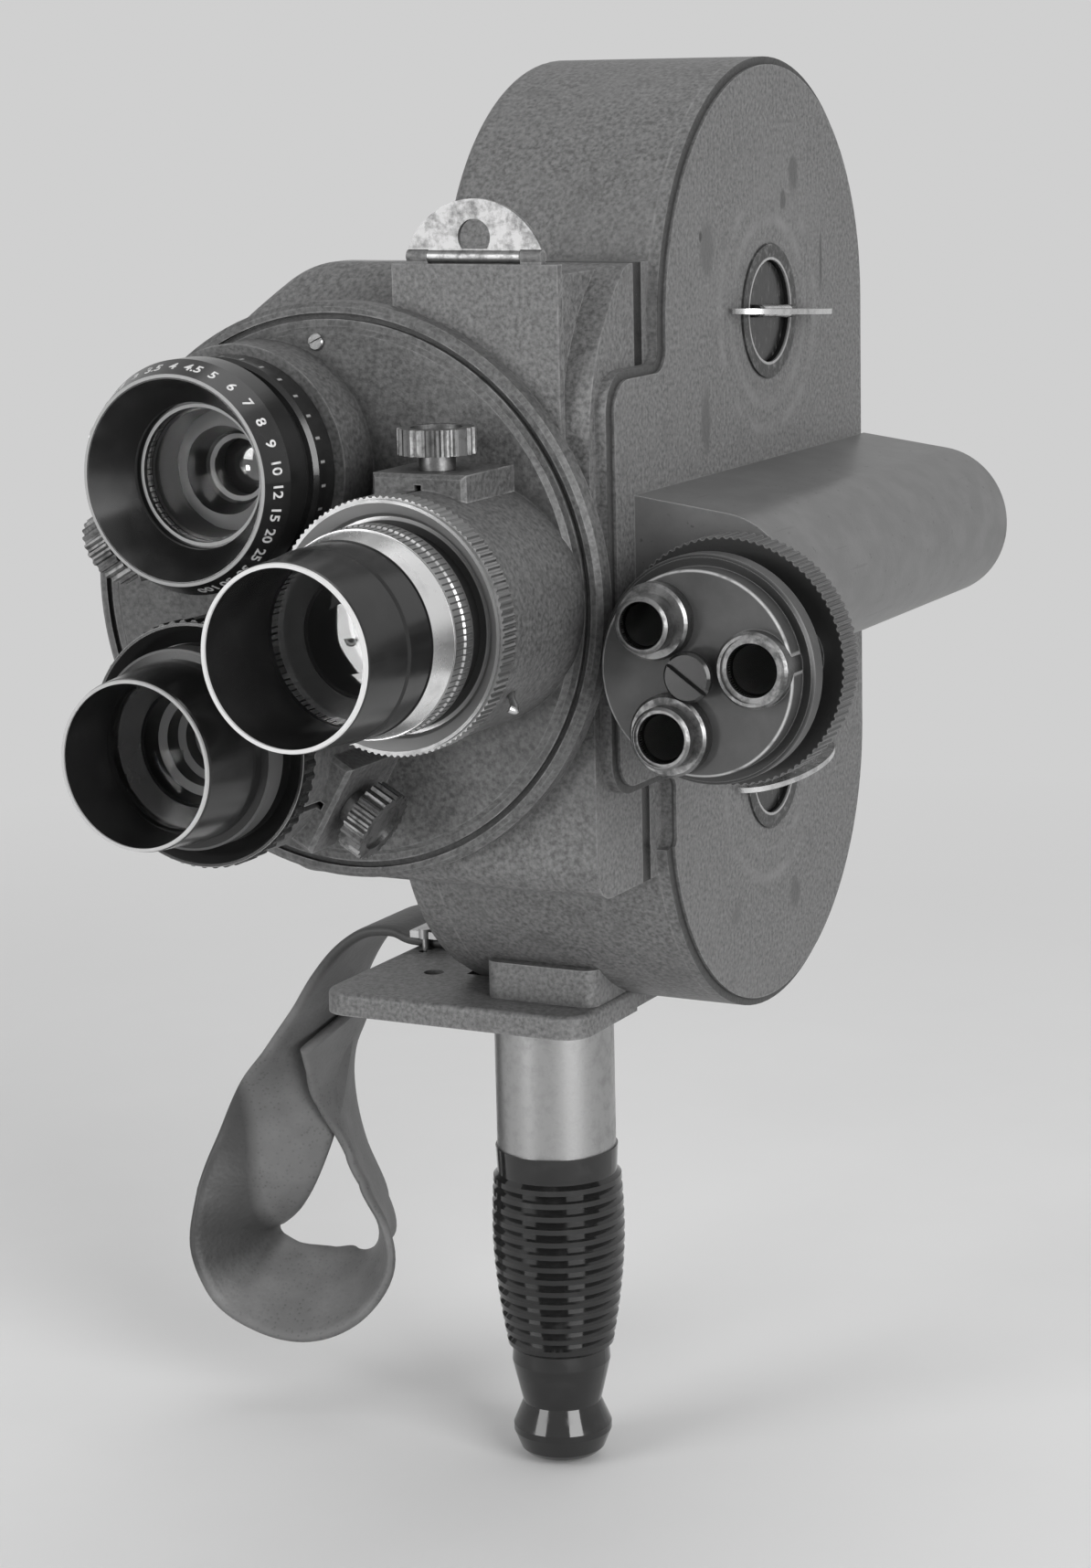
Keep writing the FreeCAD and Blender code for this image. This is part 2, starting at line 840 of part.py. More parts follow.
def handle_grip():
    bottom = handle_length
    profile = [(bolt_radius, -ferrule_length), (grip_radius(ferrule_length), -ferrule_length)]
    for rib in range(rib_count):
        start = rib_top_z + rib * rib_pitch
        for share, depth in ((0.0, rib_depth), (0.3, 0.0), (0.7, 0.0), (1.0, rib_depth)):
            z = start + share * rib_pitch
            profile.append((grip_radius(z) - depth, -z))
    end_of_ribs = rib_top_z + rib_count * rib_pitch
    steps = 4
    for i in range(1, steps + 1):
        z = end_of_ribs + (grip_waist_z - end_of_ribs) * i / steps
        profile.append((grip_radius(z), -z))
    profile.append((grip_bulb_radius, -grip_bulb_z))
    profile.append((grip_bulb_radius, -grip_bulb_z - 1.5))
    profile.append((grip_end_radius + 1.0, -bottom + 1.0))
    profile.append((grip_end_radius, -bottom))
    profile.append((0, -bottom))
    profile.append((0, -bolt_length))
    profile.append((bolt_radius, -bolt_length))
    return turned_z((0, 0), profile)


# Lens turret and its clamps


def lens_axis(place):
    """(x, z) of a lens axis: 0 is the taking position, 1 and 2 follow anticlockwise from the front."""
    angle = radians(120 * place)
    return (turret_x + lens_circle_radius * cos(angle), turret_z + lens_circle_radius * sin(angle))


def about_turret(shape, place):
    """Turn a shape made at the taking position to another lens place."""
    return turned_about(shape, V(turret_x, 0, turret_z), AXIS_Y, -120 * place)


def boss_front_y(place):
    return turret_face_y - (boss_a_length, boss_b_length, boss_c_length)[place]


def lens_turret():
    groove_out = turret_groove_radius + turret_groove_width / 2
    groove_in = turret_groove_radius - turret_groove_width / 2
    groove_y = turret_rim_y + turret_groove_depth
    profile = [
        (0, turret_back_y), (turret_radius, turret_back_y),
        (turret_radius, turret_rim_y + turret_edge_round), (turret_radius - turret_edge_round, turret_rim_y),
        (groove_out, turret_rim_y), (groove_out, groove_y), (groove_in, groove_y), (groove_in, turret_rim_y),
        (turret_step_radius, turret_rim_y), (turret_step_radius - turret_step_height, turret_face_y),
        (0, turret_face_y),
    ]
    disc = turned_y((turret_x, turret_z), profile)
    bosses = [rod_y(*lens_axis(i), boss_radius, boss_front_y(i), turret_face_y + turret_step_height)
              for i in range(3)]
    bores = [rod_y(*lens_axis(i), boss_bore_radius, boss_front_y(i), turret_back_y) for i in range(3)]
    pivot = rod_y(turret_x, turret_z, pivot_radius + turning_play, turret_face_y, turret_back_y)
    body = fused(disc, *bosses).cut(bores + [pivot])
    slots = [about_turret(clamp_slot_cut(), i) for i in range(3)]
    return body.cut(slots)


def turret_pivot():
    profile = [
        (0, housing_front_y + housing_wall), (pivot_radius, housing_front_y + housing_wall),
        (pivot_radius, turret_face_y - face_gap), (pivot_head_radius, turret_face_y - face_gap),
        (pivot_head_radius, turret_face_y - pivot_head_height),
        (pivot_head_radius - 1, turret_face_y - pivot_head_height - 1),
        (0, turret_face_y - pivot_head_height - 1),
    ]
    return turned_y((turret_x, turret_z), profile)


def clamp_y():
    """Front and back of the clamp block of the first lens."""
    front = boss_front_y(0) + boss_a_length - clamp_setback - clamp_depth
    return front, front + clamp_depth


def clamp_slot_cut():
    """The slit that lets a boss close on its lens, under the clamp block."""
    x, z = lens_axis(0)
    low = z + boss_bore_radius - 1
    longest = min(boss_front_y(i) for i in range(3))
    return box((x - clamp_slot / 2, x + clamp_slot / 2), (longest, turret_face_y), (low, z + boss_radius + 1))


def clamp_blocks():
    x, z = lens_axis(0)
    front, back = clamp_y()
    bottom = z + clamp_lift
    block = box((x - clamp_width / 2, x + clamp_width / 2), (front, turret_face_y),
                (bottom, bottom + clamp_height))
    block = block.makeChamfer(0.8, [edge for edge in block.Edges if edge.BoundBox.YMax < front + 0.01])
    hole = rod_z(x, (front + back) / 2, clamp_stem_radius + turning_play, bottom, bottom + clamp_height)
    slit = box((x - clamp_slot / 2, x + clamp_slot / 2), (front, turret_face_y),
               (bottom, bottom + clamp_height - 2))
    blocks = []
    for i in range(3):
        x_i, z_i = lens_axis(i)
        boss = rod_y(x_i, z_i, boss_radius, front - 1, turret_face_y)
        blocks.append(about_turret(block.cut([hole, slit]), i).cut([boss]))
    return Part.makeCompound(blocks)


def clamp_screw(place):
    x, z = lens_axis(0)
    front, back = clamp_y()
    y = (front + back) / 2
    seat = z + clamp_lift + clamp_height + face_gap
    neck = rod_z(x, y, clamp_neck_radius, seat, seat + clamp_neck_length)
    stem = rod_z(x, y, clamp_stem_radius, seat - clamp_stem_depth, seat)
    low = seat + clamp_neck_length
    points = knurl_points(clamp_knurl_count, clamp_head_radius, 0.6)
    corners = [V(x + u, y + v, low) for u, v in points]
    head = Part.Face(Part.makePolygon(corners + corners[:1])).extrude(V(0, 0, clamp_head_length))
    hollow = rod_z(x, y, clamp_head_radius - 2.5, low + clamp_head_length - 0.8, low + clamp_head_length)
    return about_turret(fused(stem, neck, head).cut([hollow]), place)


# Lenses. Each stack of rings is listed from the boss towards the front.


def barrel_back_y():
    return turret_back_y - barrel_rear_gap


def knurled_ring(axis, radius, knurls, front, back):
    return toothed_y(axis, knurl_points(knurls, radius), front, back)


def a_stations():
    knurl_back = boss_front_y(0) - face_gap
    knurl_front = knurl_back - a_knurl_length
    scale_back = knurl_front - a_dish_rim - a_dark_gap
    scale_front = scale_back - a_scale_length
    cone_front = scale_front - face_gap - a_cone_length
    return knurl_back, knurl_front, scale_back, scale_front, cone_front


def lens_a_barrel():
    scale_front, cone_front = a_stations()[3:]
    cone_back = scale_front - face_gap
    front_bore = a_cone_front_radius - front_wall
    profile = [
        (a_bore_radius, barrel_back_y()), (boss_bore_radius - barrel_fit, barrel_back_y()),
        (boss_bore_radius - barrel_fit, boss_front_y(0)), (a_sleeve_radius, boss_front_y(0)),
        (a_sleeve_radius, cone_back), (a_cone_back_radius, cone_back), (a_cone_front_radius, cone_front),
        (front_bore, cone_front), (front_bore, cone_front + front_seat_depth),
        (a_bore_radius, cone_front + front_seat_depth + front_seat_slope),
    ]
    return turned_y(lens_axis(0), profile)


def lens_a_focus_ring():
    knurl_back, knurl_front = a_stations()[:2]
    axis = lens_axis(0)
    rim_y = knurl_front - a_dish_rim
    teeth = knurl_points(a_knurl_count, a_knurl_radius, a_knurl_depth)
    knurl = toothed_y(axis, teeth, knurl_front, knurl_back)
    rim = rod_y(*axis, a_knurl_radius - 0.6, rim_y, knurl_front)
    dish = [
        (0, rim_y + a_dish_depth), (a_dish_radius, rim_y + a_dish_depth),
        (a_knurl_radius - 1.2, rim_y), (a_knurl_radius - 1.2, rim_y - 1), (0, rim_y - 1),
    ]
    bore = rod_y(*axis, a_sleeve_radius + turning_play, rim_y, knurl_back)
    return fused(knurl, rim).cut([turned_y(axis, dish), bore])


def lens_a_iris_ring():
    scale_back, scale_front = a_stations()[2:4]
    inner = a_sleeve_radius + turning_play
    middle = scale_back - a_scale_length * 0.45
    profile = [
        (inner, scale_back), (a_scale_radius + 0.3, scale_back), (a_scale_radius + 0.3, middle),
        (a_scale_radius, middle - 0.4), (a_scale_radius, scale_front), (inner, scale_front),
    ]
    return turned_y(lens_axis(0), profile)


def lens_a_hood():
    back = a_stations()[4] - face_gap
    front = back - a_hood_length
    seam = front + a_hood_length - a_hood_seam
    seam_radius = a_hood_back_radius - 0.3
    profile = [
        (a_hood_back_radius - a_hood_wall - 1, back), (a_hood_back_radius, back),
        (a_hood_back_radius, seam + 0.4), (seam_radius - 0.4, seam), (seam_radius, seam - 0.4),
        (a_hood_front_radius, front + 1), (a_hood_front_radius - 0.3, front),
        (a_hood_front_radius - a_hood_wall, front),
        (a_hood_back_radius - a_hood_wall - 1, back - hood_lip_length),
    ]
    return turned_y(lens_axis(0), profile)


def b_stations():
    iris_back = boss_front_y(1) - face_gap
    iris_front = iris_back - b_iris_length
    collar_front = iris_front - face_gap - b_collar_length
    ring_back = collar_front - face_gap
    flare_back = ring_back - b_ring_length
    return iris_back, iris_front, collar_front, ring_back, flare_back, flare_back - b_flare_length


def lens_b_barrel():
    iris_front, collar_front = b_stations()[1:3]
    collar_back = iris_front - face_gap
    profile = [
        (b_bore_radius, barrel_back_y()), (boss_bore_radius - barrel_fit, barrel_back_y()),
        (boss_bore_radius - barrel_fit, boss_front_y(1)), (b_sleeve_radius, boss_front_y(1)),
        (b_sleeve_radius, collar_back), (b_collar_radius, collar_back), (b_collar_radius, collar_front),
        (b_spigot_radius, collar_front), (b_spigot_radius, collar_front - b_spigot_length),
        (b_bore_radius, collar_front - b_spigot_length),
    ]
    return turned_y(lens_axis(1), profile)


def lens_b_iris_ring():
    iris_back, iris_front = b_stations()[:2]
    inner = b_sleeve_radius + turning_play
    profile = [
        (inner, iris_back), (b_iris_radius - 0.4, iris_back), (b_iris_radius, iris_back - 0.4),
        (b_iris_radius, iris_front + 0.8), (b_iris_radius - 0.8, iris_front), (inner, iris_front),
    ]
    return turned_y(lens_axis(1), profile)


def lens_b_focus_ring():
    ring_back, flare_back, front = b_stations()[3:]
    inner = b_spigot_radius + turning_play
    shelf = front + b_inner_depth
    profile = [
        (inner, ring_back), (b_ring_radius - 0.4, ring_back), (b_ring_radius, ring_back - 0.4),
        (b_ring_radius, flare_back), (b_front_radius, front), (b_front_radius - b_rim, front),
        (b_inner_radius, shelf), (b_inner_radius, shelf + 1), (inner, shelf + 1),
    ]
    return turned_y(lens_axis(1), profile)


def c_stations():
    dish_back = boss_front_y(2) - face_gap
    dish_front = dish_back - c_dish_length
    ring_back = dish_front - 0.5
    ring_front = ring_back - c_ring_length
    return dish_back, dish_front, ring_back, ring_front, ring_front - c_neck_length


def lens_c_barrel():
    ring_back, ring_front, neck_front = c_stations()[2:]
    front_bore = c_neck_radius - front_wall
    profile = [
        (c_bore_radius, barrel_back_y()), (boss_bore_radius - barrel_fit, barrel_back_y()),
        (boss_bore_radius - barrel_fit, boss_front_y(2)), (c_sleeve_radius, boss_front_y(2)),
        (c_sleeve_radius, ring_back), (c_ring_radius, ring_back), (c_ring_radius, ring_front),
        (c_neck_radius, ring_front - 0.3), (c_neck_radius, neck_front), (front_bore, neck_front),
        (front_bore, neck_front + front_seat_depth),
        (c_bore_radius, neck_front + front_seat_depth + front_seat_slope),
    ]
    return turned_y(lens_axis(2), profile)


def lens_c_focus_ring():
    dish_back, dish_front = c_stations()[:2]
    axis = lens_axis(2)
    knurl = knurled_ring(axis, c_dish_radius, c_knurl_count, dish_front + c_dish_rim, dish_back)
    rim = rod_y(*axis, c_dish_radius - 0.4, dish_front, dish_front + c_dish_rim)
    dish = [
        (0, dish_front + c_dish_depth), (c_dish_inner_radius, dish_front + c_dish_depth),
        (c_dish_radius - 1.0, dish_front), (c_dish_radius - 1.0, dish_front - 1), (0, dish_front - 1),
    ]
    bore = rod_y(*axis, c_sleeve_radius + turning_play, dish_front, dish_back)
    return fused(knurl, rim).cut([turned_y(axis, dish), bore])


def lens_c_hood():
    back = c_stations()[4] - face_gap
    front = back - c_hood_length
    inner = c_neck_radius - c_hood_wall - 1
    profile = [
        (inner, back), (c_neck_radius, back), (c_neck_radius, back - 1),
        (c_hood_front_radius, front + 1), (c_hood_front_radius - 0.3, front),
        (c_hood_front_radius - c_hood_wall, front), (inner, back - hood_lip_length),
    ]
    return turned_y(lens_axis(2), profile)


def glass(axis, radius, y, bulge):
    """A lens element whose front, towards -Y, swells by bulge."""
    profile = [
        (0, y), (radius, y), (radius, y - glass_thickness),
        (radius * 0.75, y - glass_thickness - bulge * 0.45),
        (radius * 0.4, y - glass_thickness - bulge * 0.85), (0, y - glass_thickness - bulge),
    ]
    return turned_y(axis, profile)


def lens_glasses():
    a_front = a_stations()[4] + front_seat_depth - turning_play
    c_front = c_stations()[4] + front_seat_depth - turning_play
    b_front = b_stations()[2] - b_spigot_length + glass_thickness + 1
    elements = [
        glass(lens_axis(0), a_cone_front_radius - front_wall, a_front, -glass_bulge / 2),
        glass(lens_axis(1), b_bore_radius, b_front, glass_bulge),
        glass(lens_axis(2), c_neck_radius - front_wall, c_front, -glass_bulge / 2),
    ]
    for i, radius in enumerate((a_bore_radius, b_bore_radius, c_bore_radius)):
        back = barrel_back_y() - glass_seat
        elements.append(rod_y(*lens_axis(i), radius, back - glass_thickness, back))
    return Part.makeCompound(elements)


# Film door


def door_outline(inset, x0, x1):
    """The case's round-ended outline joined to the forward flap, taken in by inset."""
    side = end_radius - inset
    front = flap_front_y + inset
    half = flap_half_height - inset
    round_out = max(flap_round - inset, 0.5)
    round_in = flap_inner_round + inset
    top = case_z + half
    bottom = case_z - half

    def at(y, z):
        return V(x0, y, z)

    def bend(y, z, radius, angle):
        middle = radians(angle)
        return at(y + radius * cos(middle), z + radius * sin(middle))

    inner_y = -side - round_in
    outer_y = front + round_out
    edges = [
        Part.Arc(at(side, high_z), at(0, high_z + side), at(-side, high_z)).toShape(),
        Part.makeLine(at(-side, high_z), at(-side, top + round_in)),
        Part.Arc(at(-side, top + round_in), bend(inner_y, top + round_in, round_in, -45),
                 at(inner_y, top)).toShape(),
        Part.makeLine(at(inner_y, top), at(outer_y, top)),
        Part.Arc(at(outer_y, top), bend(outer_y, top - round_out, round_out, 135),
                 at(front, top - round_out)).toShape(),
        Part.makeLine(at(front, top - round_out), at(front, bottom + round_out)),
        Part.Arc(at(front, bottom + round_out), bend(outer_y, bottom + round_out, round_out, 225),
                 at(outer_y, bottom)).toShape(),
        Part.makeLine(at(outer_y, bottom), at(inner_y, bottom)),
        Part.Arc(at(inner_y, bottom), bend(inner_y, bottom - round_in, round_in, 45),
                 at(-side, bottom - round_in)).toShape(),
        Part.makeLine(at(-side, bottom - round_in), at(-side, low_z)),
        Part.Arc(at(-side, low_z), at(0, low_z - side), at(side, low_z)).toShape(),
        Part.makeLine(at(side, low_z), at(side, high_z)),
    ]
    return Part.Face(Part.Wire(edges)).extrude(V(x1 - x0, 0, 0))


def door_notch():
    """Hollow for a thumb in the door's front edge, just below the flap."""
    middle = notch_depth - end_radius - notch_width / 2
    top = case_z - flap_half_height - notch_width / 2
    low = top - notch_height + notch_width
    ys = (middle - notch_width / 2, middle + notch_width / 2)
    ends = [rod_x(middle, z, notch_width / 2, door_seat_x, door_face_x) for z in (low, top)]
    return [box((door_seat_x, door_face_x), ys, (low, top))] + ends


def film_door():
    step_x = door_face_x - door_edge_step
    plate = door_outline(0, door_seat_x, step_x)
    raised = door_outline(door_edge_width, step_x, door_face_x)
    lip = stadium(room_radius - door_lip_gap, door_seat_x - door_lip_depth, door_seat_x)
    collars = [rod_x(0, z, cup_radius + cup_wall, step_x, door_face_x + cup_height) for z in (low_z, high_z)]
    body = fused(plate, raised, lip, *collars)
    inside = stadium(room_radius - door_lip_gap - door_lip_wall, door_seat_x - door_lip_depth, door_seat_x)
    tools = [inside] + door_notch()
    for z in (low_z, high_z):
        tools.append(rod_x(0, z, cup_radius, door_seat_x + cup_floor, door_face_x + cup_height))
        tools.append(rod_x(0, z, nose_radius() + turning_play, door_seat_x, door_face_x))
    return body.cut(tools)


# Door locks and wings


def nose_radius():
    return post_radius + turning_play + nose_wall


def lock_face_x():
    """Outer face of the lock disc, at the bottom of its cup."""
    return door_seat_x + cup_floor + face_gap + lock_disc_thickness


def wing_axis_x():
    """Hinge of a wing, high enough for the folded wing to lie on the ring round its cup."""
    return door_face_x + cup_height + wing_thickness / 2 + wing_rise


def lock(z, turn):
    """Disc that turns in its cup, with a hollow nose that grips the end of the post inside."""
    disc_x = door_seat_x + cup_floor + face_gap
    disc = rod_x(0, z, cup_radius - passing_gap, disc_x, lock_face_x())
    nose = rod_x(0, z, nose_radius(), door_seat_x - nose_reach, disc_x)
    socket = rod_x(0, z, post_radius + turning_play, door_seat_x - nose_reach, door_seat_x)
    ears = []
    for side in (-1, 1):
        ys = sorted((side * (wing_ear_reach - wing_ear_length), side * wing_ear_reach))
        height = wing_knuckle_radius
        ear = box((lock_face_x(), wing_axis_x()), ys, (z - height, z + height))
        ears.append(ear)
        ears.append(rod_y(wing_axis_x(), z, height, *ys))
    body = fused(disc, nose, *ears)
    pin = rod_y(wing_axis_x(), z, wing_pin_radius + turning_play, -wing_ear_reach, wing_ear_reach)
    relief = rod_y(wing_axis_x(), z, wing_knuckle_radius + passing_gap,
                   -wing_ear_reach + wing_ear_length, wing_ear_reach - wing_ear_length)
    return turned_about(body.cut([socket, pin, relief]), V(0, 0, z), AXIS_X, turn)


def wing(z, turn):
    """Long half-oval finger wing, standing out of the door on its hinge."""
    x = wing_axis_x()
    half = wing_thickness / 2
    oval = Part.Ellipse(V(x, wing_half_length, z - half), V(x + wing_reach, 0, z - half), V(x, 0, z - half))
    disc = Part.Face(Part.Wire([oval.toShape()])).extrude(V(0, 0, wing_thickness))
    ahead = box((x, x + wing_reach), (-wing_half_length, wing_half_length), (z - half, z + half))
    clear = wing_knuckle_radius + passing_gap
    notches = []
    for side in (-1, 1):
        inner = side * (wing_ear_reach - wing_ear_length - face_gap)
        outer = side * (wing_ear_reach + passing_gap)
        notches.append(box((x, x + clear), sorted((inner, outer)), (z - half, z + half)))
    inner = wing_ear_reach - wing_ear_length - face_gap
    knuckle = rod_y(x, z, wing_knuckle_radius, -inner, inner)
    pin = rod_y(x, z, wing_pin_radius, -wing_ear_reach, wing_ear_reach)
    body = fused(disc.common(ahead).cut(notches), knuckle, pin)
    return turned_about(body, V(0, 0, z), AXIS_X, turn)


# Finder


def tangent_point(foot_z, side):
    """Where the line from the finder's foot on the door touches its round back."""
    dx = -finder_axis_out
    dz = foot_z - finder_axis_z
    distance = hypot(dx, dz)
    swing = side * acos(finder_radius / distance)
    angle = atan2(dz, dx) + swing
    return V(finder_x + finder_radius * cos(angle), 0, finder_axis_z + finder_radius * sin(angle))


def finder_tube():
    top = tangent_point(finder_foot_top_z, -1)
    bottom = tangent_point(finder_foot_bottom_z, 1)
    foot_top = V(door_face_x, 0, finder_foot_top_z)
    foot_bottom = V(door_face_x, 0, finder_foot_bottom_z)
    outer = V(finder_x + finder_radius, 0, finder_axis_z)
    wire = Part.Wire([
        Part.makeLine(foot_top, top), Part.Arc(top, outer, bottom).toShape(),
        Part.makeLine(bottom, foot_bottom), Part.makeLine(foot_bottom, foot_top),
    ])
    wire.translate(V(0, finder_front_y, 0))
    tube = Part.Face(wire).extrude(V(0, finder_back_y - finder_front_y, 0))
    flange_front = finder_front_y - finder_flange_thickness
    flange = rod_y(finder_turret_x, finder_turret_z, finder_flange_radius, flange_front, finder_front_y)
    body = fused(tube, flange)
    sight_x, sight_z = objective_axis(1)
    tools = [
        rod_y(finder_x, finder_axis_z, finder_bore, finder_front_y + finder_end_wall,
              finder_back_y - finder_end_wall),
        rod_y(finder_x, finder_axis_z, eyepiece_shank_radius + turning_play,
              finder_back_y - finder_end_wall, finder_back_y),
        rod_y(sight_x, sight_z, narrow_objective_radius, flange_front, finder_front_y + finder_end_wall),
        rod_y(finder_turret_x, finder_turret_z, finder_stem_radius, flange_front,
              finder_front_y),
    ]
    return body.cut(tools)


def finder_stations():
    back = finder_front_y - finder_flange_thickness - face_gap
    knurl_front = back - finder_knurl_length
    ring_back = knurl_front - finder_neck_length
    ring_front = ring_back - finder_ring_length
    return back, knurl_front, ring_back, ring_front, ring_front - finder_face_length


def objective_axis(place):
    angle = radians(objective_angle + 120 * place)
    return (finder_turret_x + objective_circle * cos(angle), finder_turret_z + objective_circle * sin(angle))


def objective_sizes(place):
    """Outer radius, rise above the turret's face and bore radius of one of the small tubes."""
    radii = (wide_objective_radius, narrow_objective_radius, middle_objective_radius)
    rises = (wide_objective_rise, narrow_objective_rise, middle_objective_rise)
    bores = (wide_objective_bore, narrow_objective_bore, middle_objective_bore)
    return radii[place], rises[place], bores[place]


def finder_turret():
    back, knurl_front, ring_back, ring_front, face = finder_stations()
    axis = (finder_turret_x, finder_turret_z)
    knurl = knurled_ring(axis, finder_knurl_radius, finder_knurl_count, knurl_front, back)
    profile = [
        (0, knurl_front), (finder_neck_radius, knurl_front), (finder_neck_radius, ring_back),
        (finder_ring_radius, ring_back), (finder_ring_radius, ring_front + 0.6),
        (finder_ring_radius - 0.6, ring_front), (finder_face_radius, ring_front),
        (finder_face_radius, face + 0.4), (finder_face_radius - 0.4, face), (0, face),
    ]
    body = fused(knurl, turned_y(axis, profile))
    tools = [rod_y(*axis, finder_stem_radius + turning_play, face, back)]
    for i in range(3):
        tools.append(rod_y(*objective_axis(i), objective_sizes(i)[0], face, back))
    return body.cut(tools)


def finder_objectives():
    """The three small tubes in the finder's turret, each with a collar and a stepped mouth."""
    back = finder_stations()[0]
    face = finder_stations()[-1]
    tubes = []
    for i in range(3):
        radius, rise, bore = objective_sizes(i)
        front = face - rise
        step = (radius + bore) / 2
        profile = [(bore - objective_groove, back), (radius, back)]
        if rise > objective_collar_rise:
            collar_y = face - objective_collar_rise
            collar = radius + objective_collar
            profile += [
                (radius, face - face_gap), (collar, face - face_gap), (collar, collar_y + objective_groove),
                (collar - objective_groove, collar_y), (radius, collar_y),
            ]
        profile += [
            (radius, front + objective_groove), (radius - objective_groove, front),
            (step, front), (step, front + objective_groove), (bore, front + objective_groove),
            (bore, front + glass_thickness), (bore - objective_groove, front + glass_thickness),
        ]
        tubes.append(turned_y(objective_axis(i), profile))
    return Part.makeCompound(tubes)


def finder_glasses():
    face = finder_stations()[-1]
    glasses = []
    for i in range(3):
        _, rise, bore = objective_sizes(i)
        seat = face - rise + glass_thickness
        glasses.append(rod_y(*objective_axis(i), bore, seat - finder_glass_thickness, seat))
    return Part.makeCompound(glasses)


def finder_screw():
    """Slotted screw that the finder's turret turns on; its head stands over the wide tube's mouth."""
    face = finder_stations()[-1] - wide_objective_rise
    front = face - face_gap - finder_screw_height
    axis = (finder_turret_x, finder_turret_z)
    profile = [
        (0, finder_front_y), (finder_stem_radius, finder_front_y),
        (finder_stem_radius, face + wide_objective_rise - face_gap),
        (finder_collar_radius, face + wide_objective_rise - face_gap),
        (finder_collar_radius, face - face_gap),
        (finder_screw_radius, face - face_gap), (finder_screw_radius, front + 0.5),
        (finder_screw_radius - 0.5, front), (0, front),
    ]
    half = finder_screw_slot / 2
    slot = box((-finder_screw_radius, finder_screw_radius), (front, front + finder_screw_height * 0.6),
               (-half, half))
    slot = turned_about(slot, V(0, 0, 0), AXIS_Y, 35)
    slot.translate(V(axis[0], 0, axis[1]))
    return turned_y(axis, profile).cut([slot])


def eyepiece_ring():
    start = finder_back_y + face_gap
    end = start + eyepiece_length
    axis = (finder_x, finder_axis_z)
    knurl = knurled_ring(axis, eyepiece_radius, eyepiece_knurl_count, start, end - 2)
    profile = [
        (0, start - finder_end_wall), (eyepiece_shank_radius, start - finder_end_wall),
        (eyepiece_shank_radius, end - 2), (eyepiece_radius - 0.8, end - 2), (eyepiece_radius - 2, end),
        (0, end),
    ]
    window = rod_y(*axis, eyepiece_window, start - finder_end_wall, end)
    return fused(knurl, turned_y(axis, profile)).cut([window])


def eyepiece_glass():
    start = finder_back_y - 0.5
    return rod_y(finder_x, finder_axis_z, eyepiece_window, start, start + glass_thickness)


# Folding sight


def bracket_top_z():
    return housing_top_z + bracket_top


def hinge_axis():
    """(y, z) of the sight's hinge."""
    return ((bracket_front_y + housing_front_y) / 2, bracket_top_z() + hinge_radius + face_gap)


def sight_bracket():
    top = bracket_top_z()
    low = top - bracket_height
    body = box((bracket_left_x, bracket_right_x), (bracket_front_y, housing_front_y), (low, top))
    middle = (bracket_left_x + bracket_right_x) / 2
    y, z = hinge_axis()
    knuckles = []
    for side in (-1, 1):
        inner = middle + side * (hinge_length / 2 + face_gap)
        outer = inner + side * hinge_end_length
        xs = sorted((inner, outer))
        knuckles.append(rod_x(y, z, hinge_radius, *xs))
        knuckles.append(box(xs, (y - hinge_radius * 0.7, y + hinge_radius * 0.7), (top - 1, z)))
    gusset_back = brow_y(top - bracket_top) + 2
    gusset = []
    for x in (bracket_left_x + 1, bracket_right_x - bracket_thickness - 1):
        web = box((x, x + bracket_thickness), (housing_front_y, gusset_back), (low, top - bracket_top - 1))
        gusset.append(web)
    outside = plate_y(housing_outline(), housing_front_y, housing_back_y).common(brow_block())
    webs = [web.cut([outside]) for web in gusset]
    body = fused(body, *knuckles, *webs)
    return body.cut([rod_x(y, z, hinge_pin_radius + turning_play, bracket_left_x, bracket_right_x)])


def sight_leaf():
    y, z = hinge_axis()
    middle = (bracket_left_x + bracket_right_x) / 2
    half = leaf_thickness / 2
    centre_z = z + leaf_height - leaf_radius
    disc = rod_y(middle, centre_z, leaf_radius, y - half, y + half)
    low = box((middle - leaf_radius, middle + leaf_radius), (y - half, y + half),
              (centre_z - leaf_radius - 1, z + hinge_radius + face_gap))
    knuckle = rod_x(y, z, hinge_radius, middle - hinge_length / 2, middle + hinge_length / 2)
    tab = box((middle - hinge_length / 2, middle + hinge_length / 2), (y - half, y + half),
              (z, z + hinge_radius + 2 * face_gap))
    hole = rod_y(middle, z + leaf_hole_rise + face_gap, leaf_hole_radius, y - half, y + half)
    reach = hinge_length / 2 + face_gap + hinge_end_length
    pin = rod_x(y, z, hinge_pin_radius, middle - reach, middle + reach)
    return fused(disc.cut([low]).cut([hole]), knuckle, tab, pin)


# Film gate


def gate_plate():
    xs = (plate_face_x + passage_side + gate_side_gap, door_seat_x - passage_margin - gate_side_gap)
    half = passage_height / 2 - gate_side_gap
    body = box(xs, (neck_y, neck_y + gate_thickness), (case_z - half, case_z + half))
    return body.cut([picture_window(neck_y, neck_y + gate_thickness)])


def pressure_y():
    return neck_y + gate_thickness + film_gap


def pressure_plate():
    front = pressure_y()
    half = pressure_length / 2
    width = spool_inner_width / 2
    body = box((film_centre_x - width, film_centre_x + width), (front, front + pressure_thickness),
               (aperture_z - half, aperture_z + half))
    long_edges = [edge for edge in body.Edges
                  if edge.BoundBox.XLength > 1 and edge.BoundBox.YMax < front + 0.01]
    return body.makeChamfer(1.2, long_edges)


def pressure_spring_half():
    return pressure_length / 2 - leaf_spring_inset


